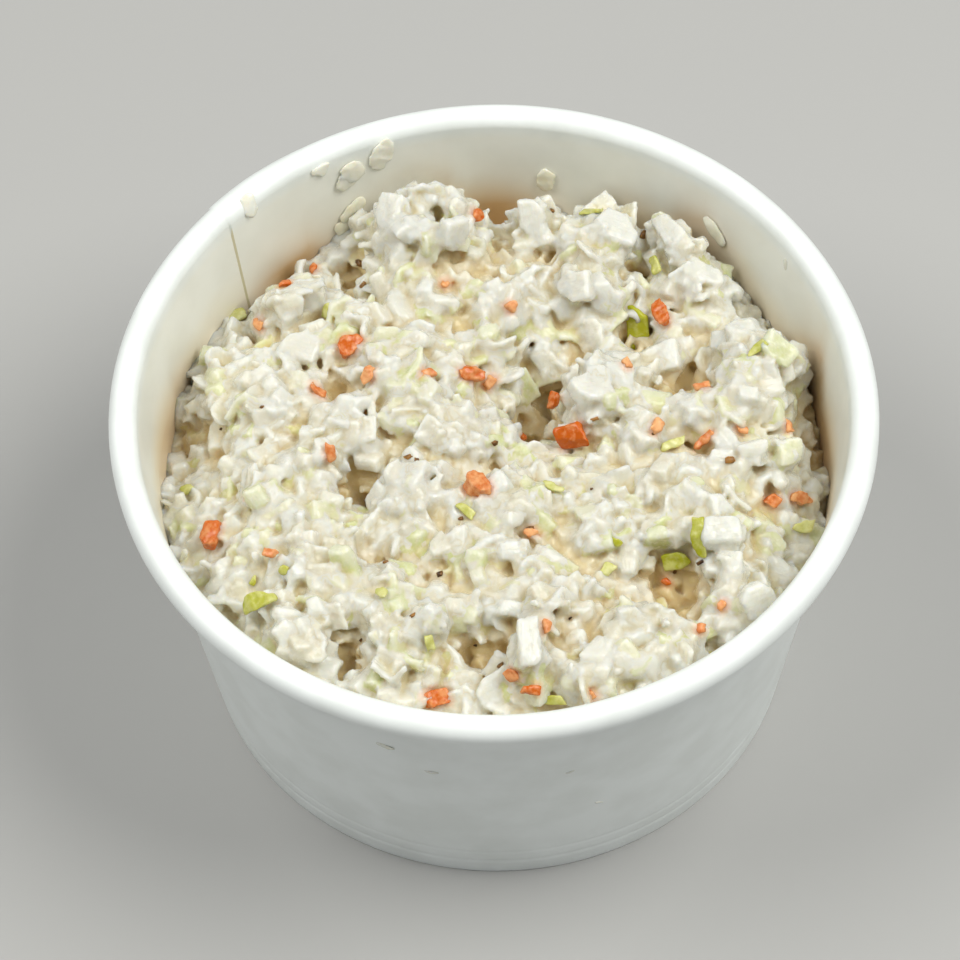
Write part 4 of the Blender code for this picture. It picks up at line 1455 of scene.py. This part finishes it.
class COLESLAW_OT_heap(bpy.types.Operator):
    """Joins the core and the chopped pieces into the coated heap"""

    bl_idname = "coleslaw.heap"
    bl_label = "Coated heap"

    def execute(self, context):
        coated_heap(context.scene.slaw_settings)
        return {"FINISHED"}


class COLESLAW_OT_carrot(bpy.types.Operator):
    """Beds the chopped carrot in the heap"""

    bl_idname = "coleslaw.carrot"
    bl_label = "Carrot"

    def execute(self, context):
        settings = context.scene.slaw_settings
        material = moist_food("fresh_carrot", settings.carrot, "#EBB27C", 0.9, 0.25, 0.6)
        joined_bits("carrot_bits", coloured_bits("carrot", settings.pieces, settings.seed), material, 0.35)
        return {"FINISHED"}


class COLESLAW_OT_leaf(bpy.types.Operator):
    """Beds the green leaf in the heap"""

    bl_idname = "coleslaw.leaf"
    bl_label = "Green leaf"

    def execute(self, context):
        settings = context.scene.slaw_settings
        material = moist_food("green_cabbage_leaf", settings.leaf, "#DAD99C", 1.3, 0.25, 0.5)
        joined_bits("green_leaf_bits", coloured_bits("leaf", settings.pieces, settings.seed), material, 0.3)
        return {"FINISHED"}


class COLESLAW_OT_pepper(bpy.types.Operator):
    """Sets specks of pepper and seed on the heap and the wall"""

    bl_idname = "coleslaw.pepper"
    bl_label = "Pepper"

    def execute(self, context):
        settings = context.scene.slaw_settings
        material = moist_food("ground_pepper", settings.pepper, "#A8783C", 0.5, 0.3, 0.1)
        specks = bedded(SPECKS, speck, surface_tree("coleslaw_heap"), 23, 0.35)
        specks += bedded(WALL_DOTS, speck, surface_tree("paper_sleeve"), 26, 0.35)
        joined_bits("pepper_specks", specks, material)
        return {"FINISHED"}


class COLESLAW_OT_wall(bpy.types.Operator):
    """Sticks scraps of cabbage and drops of dressing to the cup's wall, inside and outside"""

    bl_idname = "coleslaw.wall"
    bl_label = "Scraps on the wall"

    def execute(self, context):
        material = moist_food("wet_scraps", linear("#E6E1C8"), "#ECEADD", 1.5, 0.2, 1.0)
        scraps = laid_on_wall(bedded(WALL_SCRAPS, wet_scrap, surface_tree("paper_sleeve"), 24, 0.5))
        joined_bits("wall_scraps", scraps, material)
        return {"FINISHED"}


class COLESLAW_PT_panel(bpy.types.Panel):
    """Lists what the coleslaw is built from"""

    bl_idname = "COLESLAW_PT_panel"
    bl_label = "Coleslaw"
    bl_space_type = "VIEW_3D"
    bl_region_type = "UI"
    bl_category = "Coleslaw"

    def draw(self, context):
        for settings in (context.scene.cup_settings, context.scene.slaw_settings):
            box = self.layout.box()
            for key in settings.__annotations__:
                box.prop(settings, key)
        for step in STEPS:
            self.layout.operator(step.bl_idname)


STEPS = (
    COLESLAW_OT_studio,
    COLESLAW_OT_paper_cup,
    COLESLAW_OT_heap,
    COLESLAW_OT_carrot,
    COLESLAW_OT_leaf,
    COLESLAW_OT_pepper,
    COLESLAW_OT_wall,
)
CLASSES = (CupSettings, SlawSettings, *STEPS, COLESLAW_PT_panel)


def register():
    for cls in CLASSES:
        bpy.utils.register_class(cls)
    bpy.types.Scene.cup_settings = PointerProperty(type=CupSettings)
    bpy.types.Scene.slaw_settings = PointerProperty(type=SlawSettings)


def unregister():
    del bpy.types.Scene.slaw_settings
    del bpy.types.Scene.cup_settings
    for cls in reversed(CLASSES):
        bpy.utils.unregister_class(cls)


def main():
    noise.seed_set(NOISE_SEED)
    register()
    bpy.ops.coleslaw.studio()
    bpy.ops.coleslaw.paper_cup()
    bpy.ops.coleslaw.heap()
    bpy.ops.coleslaw.carrot()
    bpy.ops.coleslaw.leaf()
    bpy.ops.coleslaw.pepper()
    bpy.ops.coleslaw.wall()


if __name__ == "__main__":
    main()
